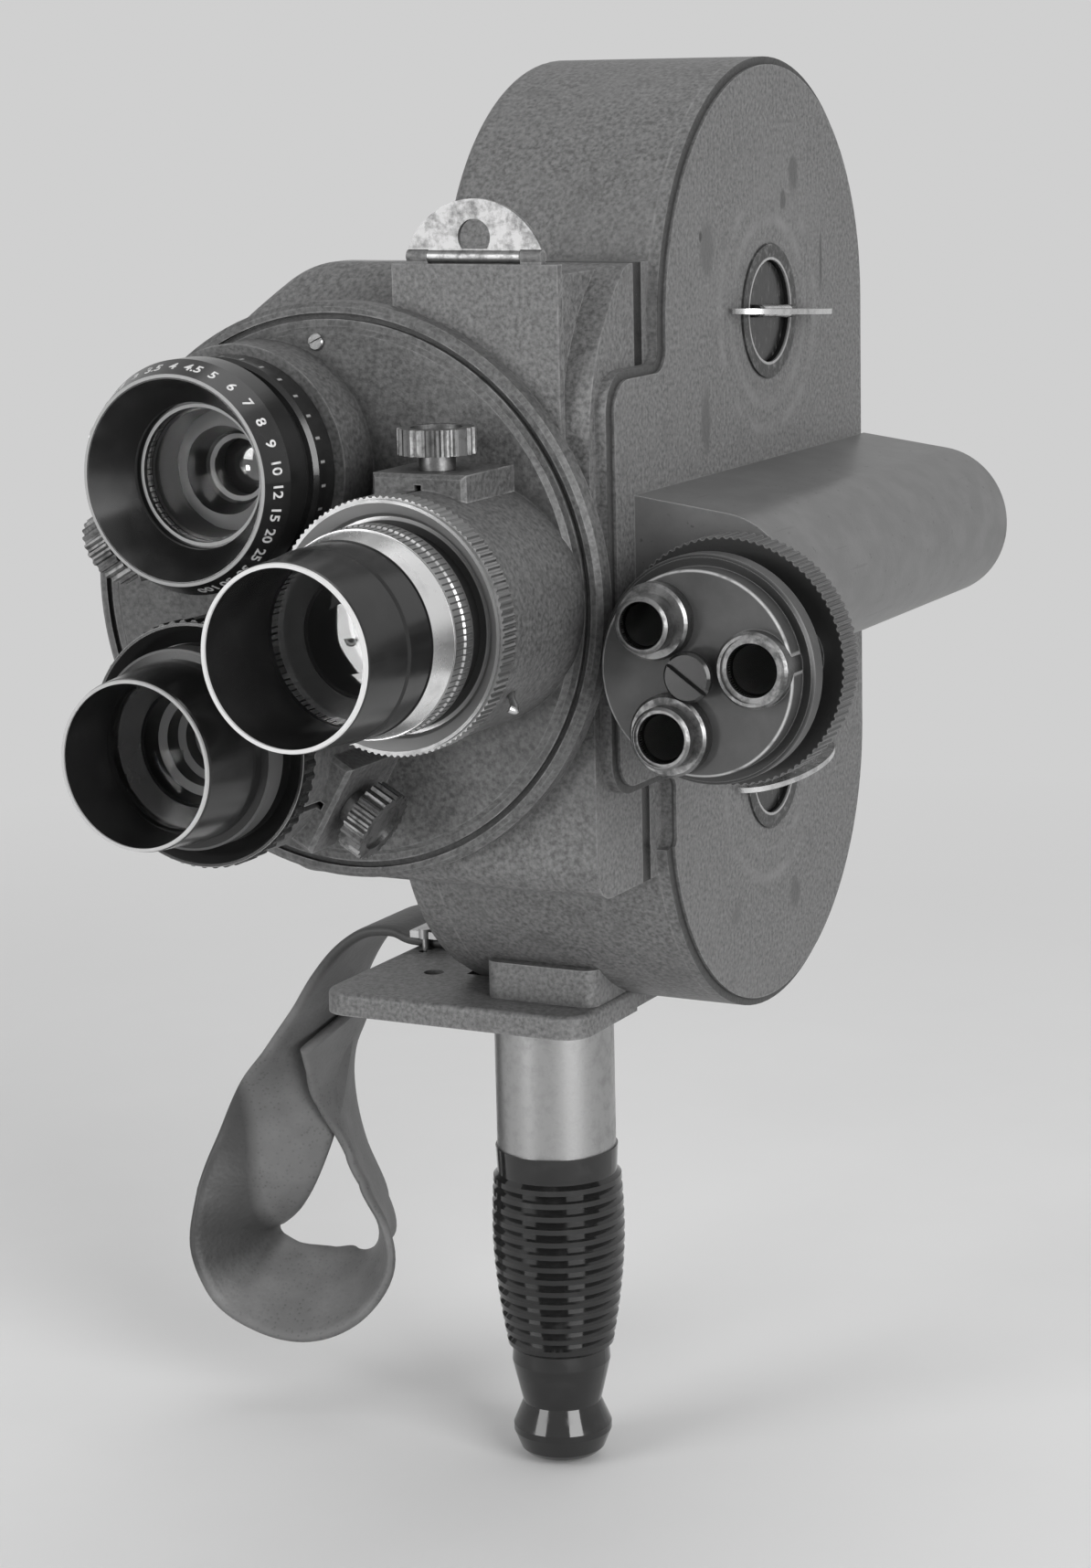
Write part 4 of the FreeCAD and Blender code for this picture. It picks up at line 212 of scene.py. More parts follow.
class Finish:
    """A procedural material: a base surface, with more surfaces mixed over it by masks."""

    def __init__(self, name, colour, roughness, metallic=0.0):
        self.material = bpy.data.materials.new(name)
        self.material.use_nodes = True
        self.tree = self.material.node_tree
        self.shader = self.tree.nodes["Principled BSDF"]
        self.shader.inputs["Base Color"].default_value = (*grey(colour), 1.0)
        self.shader.inputs["Roughness"].default_value = roughness
        self.shader.inputs["Metallic"].default_value = metallic
        self.material.diffuse_color = (*grey(colour), 1.0)

    def node(self, kind, **settings):
        made = self.tree.nodes.new(kind)
        for key, value in settings.items():
            setattr(made, key, value)
        return made

    def link(self, source, target):
        self.tree.links.new(source, target)

    def place(self):
        """Position on the piece at rest, in metres."""
        return self.node("ShaderNodeTexCoord").outputs["Object"]

    def math(self, operation, first, second=None):
        made = self.node("ShaderNodeMath", operation=operation)
        for socket, value in zip(made.inputs, (first, second)):
            if value is None:
                continue
            if isinstance(value, (int, float)):
                socket.default_value = value
            else:
                self.link(value, socket)
        return made.outputs[0]

    def times(self, first, second):
        return self.math("MULTIPLY", first, second)

    def ramp(self, value, low, high):
        """0 below low, 1 above high; low may be the larger of the two."""
        made = self.node("ShaderNodeMapRange")
        self.link(value, made.inputs["Value"])
        made.inputs["From Min"].default_value = low
        made.inputs["From Max"].default_value = high
        return made.outputs["Result"]

    def below(self, value, limit, soft=0.1):
        """1 where value, in metres, is less than limit, in millimetres."""
        return self.ramp(value, (limit + soft) * MM, (limit - soft) * MM)

    def beyond(self, value, limit, soft=0.1):
        """1 where value, in metres, is more than limit, in millimetres."""
        return self.ramp(value, (limit - soft) * MM, (limit + soft) * MM)

    def between(self, value, low, high, soft):
        """1 where value lies between low and high."""
        rise = self.ramp(value, low - soft, low + soft)
        fall = self.ramp(value, high + soft, high - soft)
        return self.times(rise, fall)

    def band(self, value, low, high, soft=0.02):
        """1 where value, in metres, lies between low and high, in millimetres."""
        return self.between(value, low * MM, high * MM, soft * MM)

    def noise(self, size, detail=3.0, stretch=(1, 1, 1), roughness=0.55):
        """Cloudy values from 0 to 1 with blobs of about size metres."""
        mapping = self.node("ShaderNodeMapping")
        self.link(self.place(), mapping.inputs["Vector"])
        mapping.inputs["Scale"].default_value = [part / size for part in stretch]
        made = self.node("ShaderNodeTexNoise")
        self.link(mapping.outputs["Vector"], made.inputs["Vector"])
        made.inputs["Scale"].default_value = 1.0
        made.inputs["Detail"].default_value = detail
        made.inputs["Roughness"].default_value = roughness
        return made.outputs["Fac"]

    def cells(self, size, feature="F1"):
        """Distance pattern of irregular cells of about size metres."""
        mapping = self.node("ShaderNodeMapping")
        self.link(self.place(), mapping.inputs["Vector"])
        mapping.inputs["Scale"].default_value = [1 / size] * 3
        made = self.node("ShaderNodeTexVoronoi", feature=feature)
        self.link(mapping.outputs["Vector"], made.inputs["Vector"])
        made.inputs["Scale"].default_value = 1.0
        return made.outputs["Distance"]

    def edges(self, width, low=0.985, high=0.86):
        """1 along the piece's edges, fading in over width metres."""
        bevel = self.node("ShaderNodeBevel", samples=6)
        bevel.inputs["Radius"].default_value = width
        facing = self.node("ShaderNodeNewGeometry")
        dot = self.node("ShaderNodeVectorMath", operation="DOT_PRODUCT")
        self.link(bevel.outputs["Normal"], dot.inputs[0])
        self.link(facing.outputs["Normal"], dot.inputs[1])
        return self.ramp(dot.outputs["Value"], low, high)

    def corners(self, distance, amount):
        """Painted shade, up to amount, in the piece's own hollows and grooves, within distance metres of
        another face.
        """
        near = self.node("ShaderNodeAmbientOcclusion", samples=6, only_local=True)
        near.inputs["Distance"].default_value = distance
        return self.times(self.ramp(near.outputs["AO"], 0.85, 0.4), amount)

    def offsets(self, axis, along="Y"):
        """Sideways and upward distance from a line along Y through axis = (x, z), and the place on the line.

        The axis is in millimetres, what comes back is in metres. With along="X" the line runs along X through
        axis = (y, z).
        """
        parts = self.node("ShaderNodeSeparateXYZ")
        self.link(self.place(), parts.inputs[0])
        first = "X" if along == "Y" else "Y"
        side = self.math("SUBTRACT", parts.outputs[first], axis[0] * MM)
        above = self.math("SUBTRACT", parts.outputs["Z"], axis[1] * MM)
        return side, above, parts.outputs[along]

    def reach(self, axis, along="Y", squash=(1, 1)):
        """Distance in metres from the line of offsets(), and the place along it."""
        side, above, place = self.offsets(axis, along)
        flat = self.node("ShaderNodeCombineXYZ")
        self.link(self.math("DIVIDE", side, squash[0]), flat.inputs["X"])
        self.link(self.math("DIVIDE", above, squash[1]), flat.inputs["Z"])
        length = self.node("ShaderNodeVectorMath", operation="LENGTH")
        self.link(flat.outputs[0], length.inputs[0])
        return length.outputs["Value"], place

    def ticks(self, axis, scale):
        """Engraved lines along a ring about axis; scale = (count, share, front, back)."""
        count, share, front, back = scale
        side, above, along = self.offsets(axis)
        turn = self.math("DIVIDE", self.math("ARCTAN2", above, side), 2 * pi / count)
        line = self.between(self.math("FRACT", turn), 0.5 - share / 2, 0.5 + share / 2, 0.03)
        return self.times(line, self.band(along, front, back))

    def layer(self, mask, colour=None, roughness=None, metallic=None):
        """Mix another surface over this one where mask is 1."""
        if colour is not None:
            self._mix("Base Color", mask, (*grey(colour), 1.0), "RGBA", colour_mix)
        for name, value in (("Roughness", roughness), ("Metallic", metallic)):
            if value is not None:
                self._mix(name, mask, value, "FLOAT", value_mix)

    def _mix(self, name, mask, value, kind, sockets):
        """Blend value over what a socket of the shader holds; sockets is colour_mix or value_mix."""
        below, over, output = sockets
        socket = self.shader.inputs[name]
        made = self.node("ShaderNodeMix", data_type=kind)
        self.link(mask, made.inputs[0])
        if socket.is_linked:
            self.link(socket.links[0].from_socket, made.inputs[below])
        else:
            made.inputs[below].default_value = socket.default_value
        made.inputs[over].default_value = value
        self.link(made.outputs[output], socket)

    def bump(self, height, depth, strength=1.0):
        """Raise the surface by height times depth metres; calls add up."""
        made = self.node("ShaderNodeBump")
        made.inputs["Strength"].default_value = strength
        made.inputs["Distance"].default_value = depth
        self.link(height, made.inputs["Height"])
        socket = self.shader.inputs["Normal"]
        if socket.is_linked:
            self.link(socket.links[0].from_socket, made.inputs["Normal"])
        self.link(made.outputs["Normal"], socket)


def grey(colour):
    """Red, green and blue of a colour that may be given as one shade."""
    return (colour, colour, colour) if isinstance(colour, (int, float)) else colour


# Materials


def crackle_paint(name="crackle_paint", rub=0.6, shade=0.12):
    """Wrinkle-finish grey paint, rubbed a little brighter along its edges."""
    paint = Finish(name, colour=shade, roughness=0.5)
    fine = paint.noise(size=0.0009, detail=3.0)
    paint.layer(paint.ramp(fine, 0.5, 0.7), colour=shade * 1.45)
    paint.layer(paint.ramp(fine, 0.5, 0.32), colour=shade * 0.55)
    broad = paint.noise(size=0.02, detail=3.0)
    paint.layer(paint.times(paint.ramp(broad, 0.5, 0.75), 0.35), colour=shade * 1.25)
    stains = paint.ramp(paint.noise(size=0.006, detail=5.0), 0.56, 0.75)
    paint.layer(paint.times(stains, 0.5), colour=shade * 0.6)
    rubbed = paint.times(paint.edges(width=0.0007), paint.ramp(paint.noise(size=0.004), 0.35, 0.65))
    paint.layer(paint.times(rubbed, rub), colour=0.26, roughness=0.4)
    # Painted shade: darker colour in the paint's own hollows and grooves
    paint.layer(paint.corners(distance=0.005, amount=0.75), colour=shade * 0.25, roughness=0.6)
    paint.bump(fine, depth=0.00012, strength=0.8)
    paint.bump(paint.cells(size=0.0009), depth=0.00005, strength=0.6)
    return paint


def door_paint():
    """The door's crackle paint, with a dark line round its raised face and marks of use."""
    paint = crackle_paint("door_paint")
    foot = paint.offsets((0, 0), "X")[2]
    paint.layer(paint.times(paint.band(foot, *door_line), 0.75), colour=0.03, roughness=0.7)
    for z in lock_heights:
        reach, along = paint.reach((0, z), "X")
        rim = paint.band(reach, *lock_rim, soft=0.1)
        chipped = paint.ramp(paint.noise(size=0.0012, detail=4.0), 0.3, 0.5)
        paint.layer(paint.times(rim, chipped), colour=0.025, roughness=0.4)
        # Painted highlight: a pale ring round each lock cup's lip
        lip_highlight = paint.band(reach, *lock_lip_highlight, soft=0.1)
        paint.layer(paint.times(lip_highlight, 0.7), colour=0.4, roughness=0.3)
        cup = paint.times(paint.below(along, lock_cup_mouth, soft=0.2), paint.below(reach, lock_cup_radius))
        paint.layer(cup, colour=0.012, roughness=0.25)
        for radius in worn_circles:
            half = worn_circle_width / 2
            circle = paint.band(reach, radius - half, radius + half, soft=0.9)
            worn = paint.ramp(paint.noise(size=0.008), 0.4, 0.75)
            paint.layer(paint.times(circle, worn), colour=0.165, roughness=0.42)
    for place, size, shade in door_marks:
        reach = paint.reach(place, "X", size)[0]
        ragged = paint.math("ADD", reach, paint.times(paint.noise(size=0.002, detail=4.0), 0.9 * MM))
        mark = paint.below(ragged, door_mark_radius, soft=0.2)
        paint.layer(paint.times(mark, 0.85), colour=shade, roughness=0.4)
    return paint


def smooth_paint(name="finder_paint", shade=0.11):
    """Flat grey paint with faint scratches and brighter edges."""
    paint = Finish(name, colour=shade, roughness=0.38)
    paint.layer(paint.ramp(paint.noise(size=0.006, detail=4.0), 0.4, 0.7), colour=shade * 1.2)
    scratch = paint.ramp(paint.noise(size=0.0012, detail=2.0, stretch=(1, 0.05, 1)), 0.68, 0.74)
    paint.layer(paint.times(scratch, 0.4), colour=shade * 0.6)
    paint.layer(paint.times(paint.edges(width=0.0005), 0.6), colour=0.4, roughness=0.35)
    pits = paint.ramp(paint.noise(size=0.0016, detail=2.0), 0.69, 0.73)
    paint.layer(paint.times(pits, 0.6), colour=shade * 0.35)
    # Painted shade: darker colour in the paint's own hollows and grooves
    paint.layer(paint.corners(distance=0.004, amount=0.6), colour=shade * 0.3, roughness=0.6)
    paint.bump(paint.noise(size=0.0005, detail=2.0), depth=0.00003, strength=0.6)
    return paint


def finder_head_paint():
    """Dark paint of the finder's turret, black in its grooves and bright on the rim of its face."""
    paint = Finish("finder_head", colour=0.038, roughness=0.4)
    paint.layer(paint.ramp(paint.noise(size=0.005, detail=4.0), 0.4, 0.7), colour=0.052)
    # Painted shade: near-black colour in the paint's own hollows and grooves
    paint.layer(paint.corners(distance=0.003, amount=0.8), colour=0.012, roughness=0.5)
    paint.bump(paint.noise(size=0.0006, detail=2.0), depth=0.00003, strength=0.6)
    reach, along = paint.reach(finder_head)
    for front, back, radius in finder_grooves:
        groove = paint.times(paint.band(along, front, back), paint.below(reach, radius, soft=0.15))
        paint.layer(groove, colour=0.008, roughness=0.4)
    outside = paint.beyond(reach, finder_rim_radius, soft=0.2)
    rim = paint.times(outside, paint.below(along, finder_rim_front, soft=0.15))
    paint.layer(paint.times(rim, paint.ramp(paint.noise(size=0.004), 0.3, 0.5)), colour=0.5, roughness=0.35)
    paint.layer(paint.times(paint.edges(width=0.0004), 0.5), colour=0.32, roughness=0.35)
    return paint


def black_enamel(name="black_enamel", axis=None, rim=None):
    """Gloss black; rim = (least radius, front, back, shade) is a band about axis worn to bright metal."""
    enamel = Finish(name, colour=0.012, roughness=0.2)
    enamel.layer(enamel.ramp(enamel.noise(size=0.01, detail=4.0), 0.5, 0.8), colour=0.02, roughness=0.3)
    if rim:
        radius, front, back, shade = rim
        reach, along = enamel.reach(axis)
        worn = enamel.times(enamel.beyond(reach, radius, soft=0.02), enamel.band(along, front, back))
        enamel.layer(worn, colour=shade, roughness=0.4)
    enamel.bump(enamel.noise(size=0.002, detail=2.0), depth=0.00001, strength=0.5)
    return enamel


def worn_nickel(name="worn_nickel", shade=0.55, spots=0.22, roughness=0.3):
    """Nickel plate with darker blotches."""
    plate = Finish(name, colour=shade, roughness=roughness, metallic=1.0)
    blotch = plate.ramp(plate.noise(size=0.003, detail=5.0, roughness=0.7), 0.45, 0.65)
    plate.layer(plate.times(blotch, 0.75), colour=spots, roughness=roughness + 0.18)
    plate.bump(plate.noise(size=0.0008, detail=3.0), depth=0.00003, strength=0.5)
    return plate


def polished_metal(name="lens_silver", shade=0.72, roughness=0.2):
    """Turned bright metal with fine tool lines round its axis."""
    metal = Finish(name, colour=shade, roughness=roughness, metallic=1.0)
    dull = metal.ramp(metal.noise(size=0.004, detail=4.0), 0.5, 0.8)
    metal.layer(dull, colour=shade * 0.75, roughness=roughness + 0.1)
    lines = metal.noise(size=0.0003, detail=2.0, stretch=(0.05, 1, 0.05))
    metal.bump(lines, depth=0.00001, strength=0.5)
    return metal


def lens_a_silver(axis):
    """Bright cone of lens A's barrel; its bore, its front and its sleeve are black."""
    metal = polished_metal("lens_a_silver", shade=0.92, roughness=0.26)
    reach, along = metal.reach(axis)
    for black in (
        metal.below(reach, barrel_a_bore_radius), metal.below(along, barrel_a_front, soft=0.05),
        metal.beyond(along, barrel_a_sleeve, soft=0.05),
    ):
        metal.layer(black, colour=0.012, roughness=0.35, metallic=0.0)
    return metal


def lens_a_grip(axis):
    """Fine grip round a pale satin dish, with a bright step and a black sleeve in its middle."""
    metal = polished_metal("lens_a_grip", shade=0.36, roughness=0.4)
    reach = metal.reach(axis)[0]
    metal.layer(metal.below(reach, grip_a_dish_radius), colour=0.4, roughness=0.4, metallic=0.3)
    metal.layer(metal.band(reach, *grip_a_step), colour=0.42, roughness=0.35, metallic=0.8)
    metal.layer(metal.below(reach, grip_a_sleeve_radius), colour=0.02, roughness=0.4, metallic=0.0)
    return metal


def lens_b_black(axis):
    """Black barrel with a thin bright ring round its glass."""
    enamel = black_enamel("lens_b_black")
    reach, along = enamel.reach(axis)
    ring = enamel.times(enamel.band(reach, *glass_ring_b), enamel.below(along, glass_ring_b_back, soft=0.05))
    enamel.layer(ring, colour=0.28, roughness=0.3)
    return enamel


def lens_c_black(axis):
    """Satin black barrel with a greyer ring at its back."""
    enamel = black_enamel("lens_c_black")
    reach, along = enamel.reach(axis)
    outside = enamel.beyond(reach, ring_c_radius, soft=0.05)
    ring = enamel.times(outside, enamel.below(along, ring_c_back, soft=0.05))
    enamel.layer(ring, colour=0.075, roughness=0.4)
    return enamel


def baffle_black(name, axis, rings):
    """Black inside of a lens; rings = (inner radius, outer radius, front, back) in millimetres are grey."""
    black = Finish(name, colour=0.012, roughness=0.3)
    black.bump(black.noise(size=0.0004, detail=2.0, stretch=(0.1, 1, 0.1)), depth=0.00001, strength=0.5)
    reach, along = black.reach(axis)
    for inner, outer, front, back in rings:
        ring = black.times(black.band(reach, inner, outer), black.band(along, front, back))
        black.layer(ring, colour=0.4, roughness=0.4)
    return black


def scale_ring(axis):
    """Lens A's bright ring with engraved black lines."""
    metal = polished_metal("scale_a", shade=0.5, roughness=0.3)
    metal.layer(metal.ticks(axis, scale_a), colour=0.03, roughness=0.5, metallic=0.0)
    return metal


def black_scale_ring(axis):
    """Lens B's black ring with pale filled lines."""
    ring = black_enamel("iris_b")
    ring.layer(ring.ticks(axis, scale_b), colour=0.3, roughness=0.5)
    return ring


def lock_black():
    """Dark plug at the bottom of a lock's cup, with streaks of painted reflection."""
    plug = Finish("lock_black", colour=0.012, roughness=0.22)
    # Painted reflection: pale stretched streaks over the dark plug
    reflection_streak = plug.ramp(plug.noise(size=0.0022, detail=4.0, stretch=(1, 2.5, 0.7)), 0.55, 0.68)
    plug.layer(plug.times(reflection_streak, 0.8), colour=0.06, roughness=0.3)
    plug.bump(plug.noise(size=0.0015, detail=3.0), depth=0.0001, strength=0.6)
    return plug


def objective_nickel():
    """Worn metal of the finder's lens tubes, black inside."""
    metal = worn_nickel("objective_nickel", shade=0.22, spots=0.05, roughness=0.36)
    for axis, bore in objective_bores():
        inside = metal.below(metal.reach(axis)[0], bore + 0.04, soft=0.04)
        metal.layer(inside, colour=0.01, roughness=0.4, metallic=0.0)
    return metal


def deep_glass():
    """Small dark lens deep in a barrel, with a strong shine."""
    glass = Finish("deep_glass", colour=0.01, roughness=0.06)
    glass.shader.inputs["IOR"].default_value = 1.9
    glass.shader.inputs["Specular IOR Level"].default_value = 1.0
    glass.layer(glass.ramp(glass.noise(size=0.002), 0.4, 0.8), colour=0.02)
    return glass


def brushed_steel():
    """Plain steel of the screws and the works."""
    steel = Finish("brushed_steel", colour=0.42, roughness=0.35, metallic=1.0)
    steel.layer(steel.ramp(steel.noise(size=0.005, detail=4.0), 0.45, 0.75), colour=0.3, roughness=0.45)
    steel.bump(steel.noise(size=0.0003, detail=2.0, stretch=(1, 1, 0.06)), depth=0.00001, strength=0.5)
    return steel


def yellow_brass():
    """Yellow brass, darker in patches."""
    brass = Finish("brass", colour=(0.45, 0.33, 0.12), roughness=0.3, metallic=1.0)
    dull = brass.ramp(brass.noise(size=0.004, detail=4.0), 0.5, 0.8)
    brass.layer(dull, colour=(0.28, 0.2, 0.08), roughness=0.45)
    brass.bump(brass.noise(size=0.0005, detail=2.0), depth=0.00001, strength=0.5)
    return brass


def handle_gloss():
    """Polished black moulding with fine scuffs."""
    gloss = Finish("handle_gloss", colour=0.008, roughness=0.09)
    gloss.shader.inputs["IOR"].default_value = 1.58
    gloss.layer(gloss.ramp(gloss.noise(size=0.004, detail=5.0), 0.5, 0.8), colour=0.018, roughness=0.3)
    gloss.bump(gloss.noise(size=0.003, detail=2.0), depth=0.00003, strength=0.5)
    return gloss


def strap_leather():
    """Grained grey leather, darker in its grain, where it leaves its clamp and on its outermost bend."""
    leather = Finish("strap_leather", colour=0.115, roughness=0.55)
    grain = leather.cells(size=0.0011)
    leather.layer(leather.ramp(grain, 0.35, 0.1), colour=0.075)
    leather.layer(leather.ramp(leather.noise(size=0.012, detail=4.0), 0.4, 0.75), colour=0.16)
    side, above = leather.offsets((0, 0))[:2]
    outer = leather.below(side, strap_dark_side, soft=1.5)
    bend = leather.times(outer, leather.beyond(above, strap_dark_foot, soft=4.0))
    for dark in (bend, leather.beyond(above, strap_dark_top, soft=7.0)):
        leather.layer(leather.times(dark, 0.8), colour=0.02, roughness=0.5)
    leather.bump(grain, depth=0.00008, strength=0.7)
    leather.bump(leather.noise(size=0.006, detail=3.0), depth=0.0003, strength=0.5)
    return leather


def coated_glass():
    """Clear glass whose coating takes most of its shine, apart from lens A's plainer front."""
    glass = Finish("coated_glass", colour=0.9, roughness=0.02)
    glass.shader.inputs["Transmission Weight"].default_value = 1.0
    glass.shader.inputs["IOR"].default_value = 1.14
    glass.shader.inputs["Coat IOR"].default_value = 1.4
    glass.shader.inputs["Coat Roughness"].default_value = 0.02
    plain = glass.below(glass.reach(lens_axis(0))[0], barrel_a_bore_radius)
    glass.link(plain, glass.shader.inputs["Coat Weight"])
    haze = glass.ramp(glass.noise(size=0.006, detail=3.0), 0.5, 0.9)
    glass.layer(glass.times(haze, 0.4), colour=0.75, roughness=0.05)
    return glass


def paint_nodes():
    """Give each CAD node its material."""
    a, b, c = (lens_axis(i) for i in range(3))
    groups = {
        crackle_paint(): ("main_casting", "spring_cover", "front_housing", "base_plate"),
        crackle_paint("turret_paint", rub=0.8, shade=0.085): ("lens_turret", "clamp_blocks"),
        crackle_paint("bracket_paint", rub=0.95): ("sight_bracket",),
        door_paint(): ("film_door",),
        lock_black(): ("upper_lock", "lower_lock"),
        smooth_paint(): ("finder_tube",),
        finder_head_paint(): ("finder_turret",),
        worn_nickel(): ("winding_key", "gate_plate", "release_lever"),
        worn_nickel("leaf_nickel", shade=0.34, spots=0.1, roughness=0.36): ("sight_leaf",),
        worn_nickel("wing_nickel", shade=0.7, spots=0.35, roughness=0.25): ("upper_wing", "lower_wing"),
        worn_nickel("ferrule_nickel", shade=0.4, spots=0.3, roughness=0.32): ("handle_ferrule",),
        worn_nickel("screw_nickel", shade=0.22, spots=0.05, roughness=0.38): (
            "clamp_screw_a", "clamp_screw_b", "clamp_screw_c",
        ),
        objective_nickel(): ("finder_objectives",),
        lens_a_silver(a): ("lens_a_barrel",),
        lens_a_grip(a): ("lens_a_focus_ring",),
        scale_ring(a): ("lens_a_iris_ring",),
        lens_b_black(b): ("lens_b_barrel",),
        lens_c_black(c): ("lens_c_barrel",),
        brushed_steel(): (
            "mechanism_plate", "base_screws", "turret_pivot", "film_shoes", "strap_clamp", "winding_arbor",
            "spring_barrel", "mainspring", "film_sprocket", "supply_spindle", "take_up_spindle",
            "pressure_plate", "pressure_spring",
        ),
        yellow_brass(): ("idler_gear",),
        black_enamel(): (
            "housing_back_plate", "finder_screw", "eyepiece_ring", "shutter_disc", "supply_spool",
            "take_up_spool", "footage_dial", "speed_dial",
        ),
        handle_gloss(): ("handle_grip",),
        coated_glass(): ("lens_glasses", "finder_glasses", "eyepiece_glass"),
        black_scale_ring(b): ("lens_b_iris_ring",),
        black_enamel("hood_a", a, hood_a_rim): ("lens_a_hood",),
        black_enamel("hood_c", c, hood_c_rim): ("lens_c_hood",),
        black_enamel("ring_b", b, ring_b_rim): ("lens_b_focus_ring",),
        black_enamel("dish_c", c, dish_c_rim): ("lens_c_focus_ring",),
    }
    for finish, names in groups.items():
        for name in names:
            mesh = NODES[name].data
            mesh.materials.clear()
            mesh.materials.append(finish.material)


# Pieces


def smooth(mesh):
    for polygon in mesh.polygons:
        polygon.use_smooth = True


def piece(name, verts, faces, material, body):
    """New mesh object, from points in metres, that rides on a body."""
    mesh = bpy.data.meshes.new(name)
    mesh.from_pydata([tuple(v) for v in verts], [], faces)
    mesh.update()
    mesh.materials.append(material)
    made = bpy.data.objects.new(name, mesh)
    bpy.context.scene.collection.objects.link(made)
    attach(made, body)
    return made


def turned(name, axis, outline, finish, body, steps=96):
    """Ring turned about the line along Y through axis from a closed outline of (radius, y) in millimetres."""
    verts = []
    for step in range(steps):
        angle = 2 * pi * step / steps
        for r, y in outline:
            verts.append(Vector((axis[0] + r * cos(angle), y, axis[1] + r * sin(angle))) * MM)
    count = len(outline)
    faces = []
    for step in range(steps):
        here, after = step * count, (step + 1) % steps * count
        for i in range(count):
            j = (i + 1) % count
            faces.append((here + i, here + j, after + j, after + i))
    made = piece(name, verts, faces, finish.material, body)
    tidy_mesh(made.data)
    return made


def tidy_mesh(mesh, angle=25):
    """Join doubled points, turn the faces outwards and shade all but sharp edges smooth."""
    shape = bmesh.new()
    shape.from_mesh(mesh)
    bmesh.ops.remove_doubles(shape, verts=shape.verts, dist=1e-6)
    bmesh.ops.recalc_face_normals(shape, faces=shape.faces)
    shape.to_mesh(mesh)
    shape.free()
    smooth(mesh)
    mesh.set_sharp_from_angle(angle=radians(angle))


def lens_inside(name, axis, bore, front, steps):
    """Stepped black tube in a barrel's bore, with a small deep lens at its end."""
    outline = [(radius, front + depth) for radius, depth in steps]
    radius, back = outline[-1]
    outline += [(bore, back), (bore, front)]
    greyer = []
    for (r0, d0), (r1, d1) in zip(steps, steps[1:]):
        if r0 - r1 > grey_step_width and d1 - d0 < grey_step_depth:
            low, high = sorted((front + d0, front + d1))
            greyer.append((r1, r0, low - 0.05, high + 0.05))
    turned(name, axis, outline, baffle_black(name, axis, greyer), "turret")
    curve = radius / sin(radians(deep_lens_angle))
    dome = []
    for step in range(deep_lens_steps + 1):
        angle = radians(deep_lens_angle * (1 - step / deep_lens_steps))
        rise = curve * (cos(angle) - cos(radians(deep_lens_angle)))
        dome.append((curve * sin(angle), back - deep_lens_back - rise))
    turned(name + "_lens", axis, [(radius, back)] + dome + [(0, back)], deep_glass(), "turret")


def lens_insides():
    """Black insides of the three lenses."""
    a, b, c = (lens_axis(i) for i in range(3))
    lens_inside("lens_a_inside", a, inside_bore_a, inside_front_a, inside_a)
    lens_inside("lens_b_inside", b, inside_bore_b, inside_front_b, inside_b)
    lens_inside("lens_c_inside", c, inside_bore_c, inside_front_c, inside_c)


def number_mesh(word):
    """One number as a flat plate about its own middle, in millimetres."""
    text = bpy.data.curves.new("number", "FONT")
    text.body = word
    text.size = number_size
    text.extrude = number_thickness
    text.offset = number_weight
    text.align_x = "CENTER"
    text.align_y = "CENTER"
    text.resolution_u = 3
    holder = bpy.data.objects.new("number", text)
    mesh = bpy.data.meshes.new_from_object(holder)
    bpy.data.objects.remove(holder)
    bpy.data.curves.remove(text)
    return mesh


def ring_numbers():
    """Numbers bent round the sloping front of lens B's ring, reading clockwise."""
    axis = lens_axis(1)
    length = sqrt(number_slope[0] ** 2 + number_slope[1] ** 2)
    out, back = number_slope[0] / length, number_slope[1] / length
    verts, faces = [], []
    for i, word in enumerate(distance_numbers):
        mesh = number_mesh(word)
        start = len(verts)
        for point in mesh.vertices:
            x, y, z = point.co
            z -= number_sink
            angle = radians(number_start - number_gap * i) - x / number_radius
            radius = number_radius + out * y + back * z
            along = number_y + back * y - out * z
            place = Vector((axis[0] + radius * cos(angle), along, axis[1] + radius * sin(angle)))
            verts.append(place * MM)
        faces += [tuple(start + v for v in face.vertices) for face in mesh.polygons]
        bpy.data.meshes.remove(mesh)
    filling = Finish("white_filling", colour=0.62, roughness=0.5)
    filling.layer(filling.ramp(filling.noise(size=0.0012, detail=4.0), 0.5, 0.7), colour=0.25)
    numbers = piece("lens_b_numbers", verts, faces, filling.material, "focus_b")
    tidy_mesh(numbers.data)


def slotted_screw(name, place, slot, finish):
    """Round slotted head on the turret's face: two halves of the head over a floor that shows in the slot."""
    verts, faces = [], []
    ring = []
    for step in range(screw_steps + 1):
        angle = radians(slot_half_angle + (180 - 2 * slot_half_angle) * step / screw_steps)
        ring.append((cos(angle), sin(angle)))
    turn = radians(slot)
    levels = ((1.0, screw_foot), (1.0, -screw_height * screw_edge), (screw_top, -screw_height))
    count = len(ring)
    for side in (1, -1):
        start = len(verts)
        for share, y in levels:
            for u, v in ring:
                u, v = u * screw_radius * share * side, v * screw_radius * share * side
                x, z = u * cos(turn) - v * sin(turn), u * sin(turn) + v * cos(turn)
                verts.append(Vector((place[0] + x, turret_face_y + y, place[1] + z)) * MM)
        for level in range(2):
            for i in range(count):
                j = (i + 1) % count
                low, high = start + level * count, start + (level + 1) * count
                faces.append((low + i, low + j, high + j, high + i))
        faces.append(tuple(range(start, start + count)))
        faces.append(tuple(range(start + 2 * count, start + 3 * count)))
    head = piece(name, verts, faces, finish.material, "turret")
    tidy_mesh(head.data)
    radius = screw_radius * screw_floor_radius
    back, front = turret_face_y + screw_foot, turret_face_y - screw_height * screw_floor
    floor = [(0, back), (radius, back), (radius, front), (0, front)]
    turned(name + "_floor", place, floor, finish, "turret", steps=32)


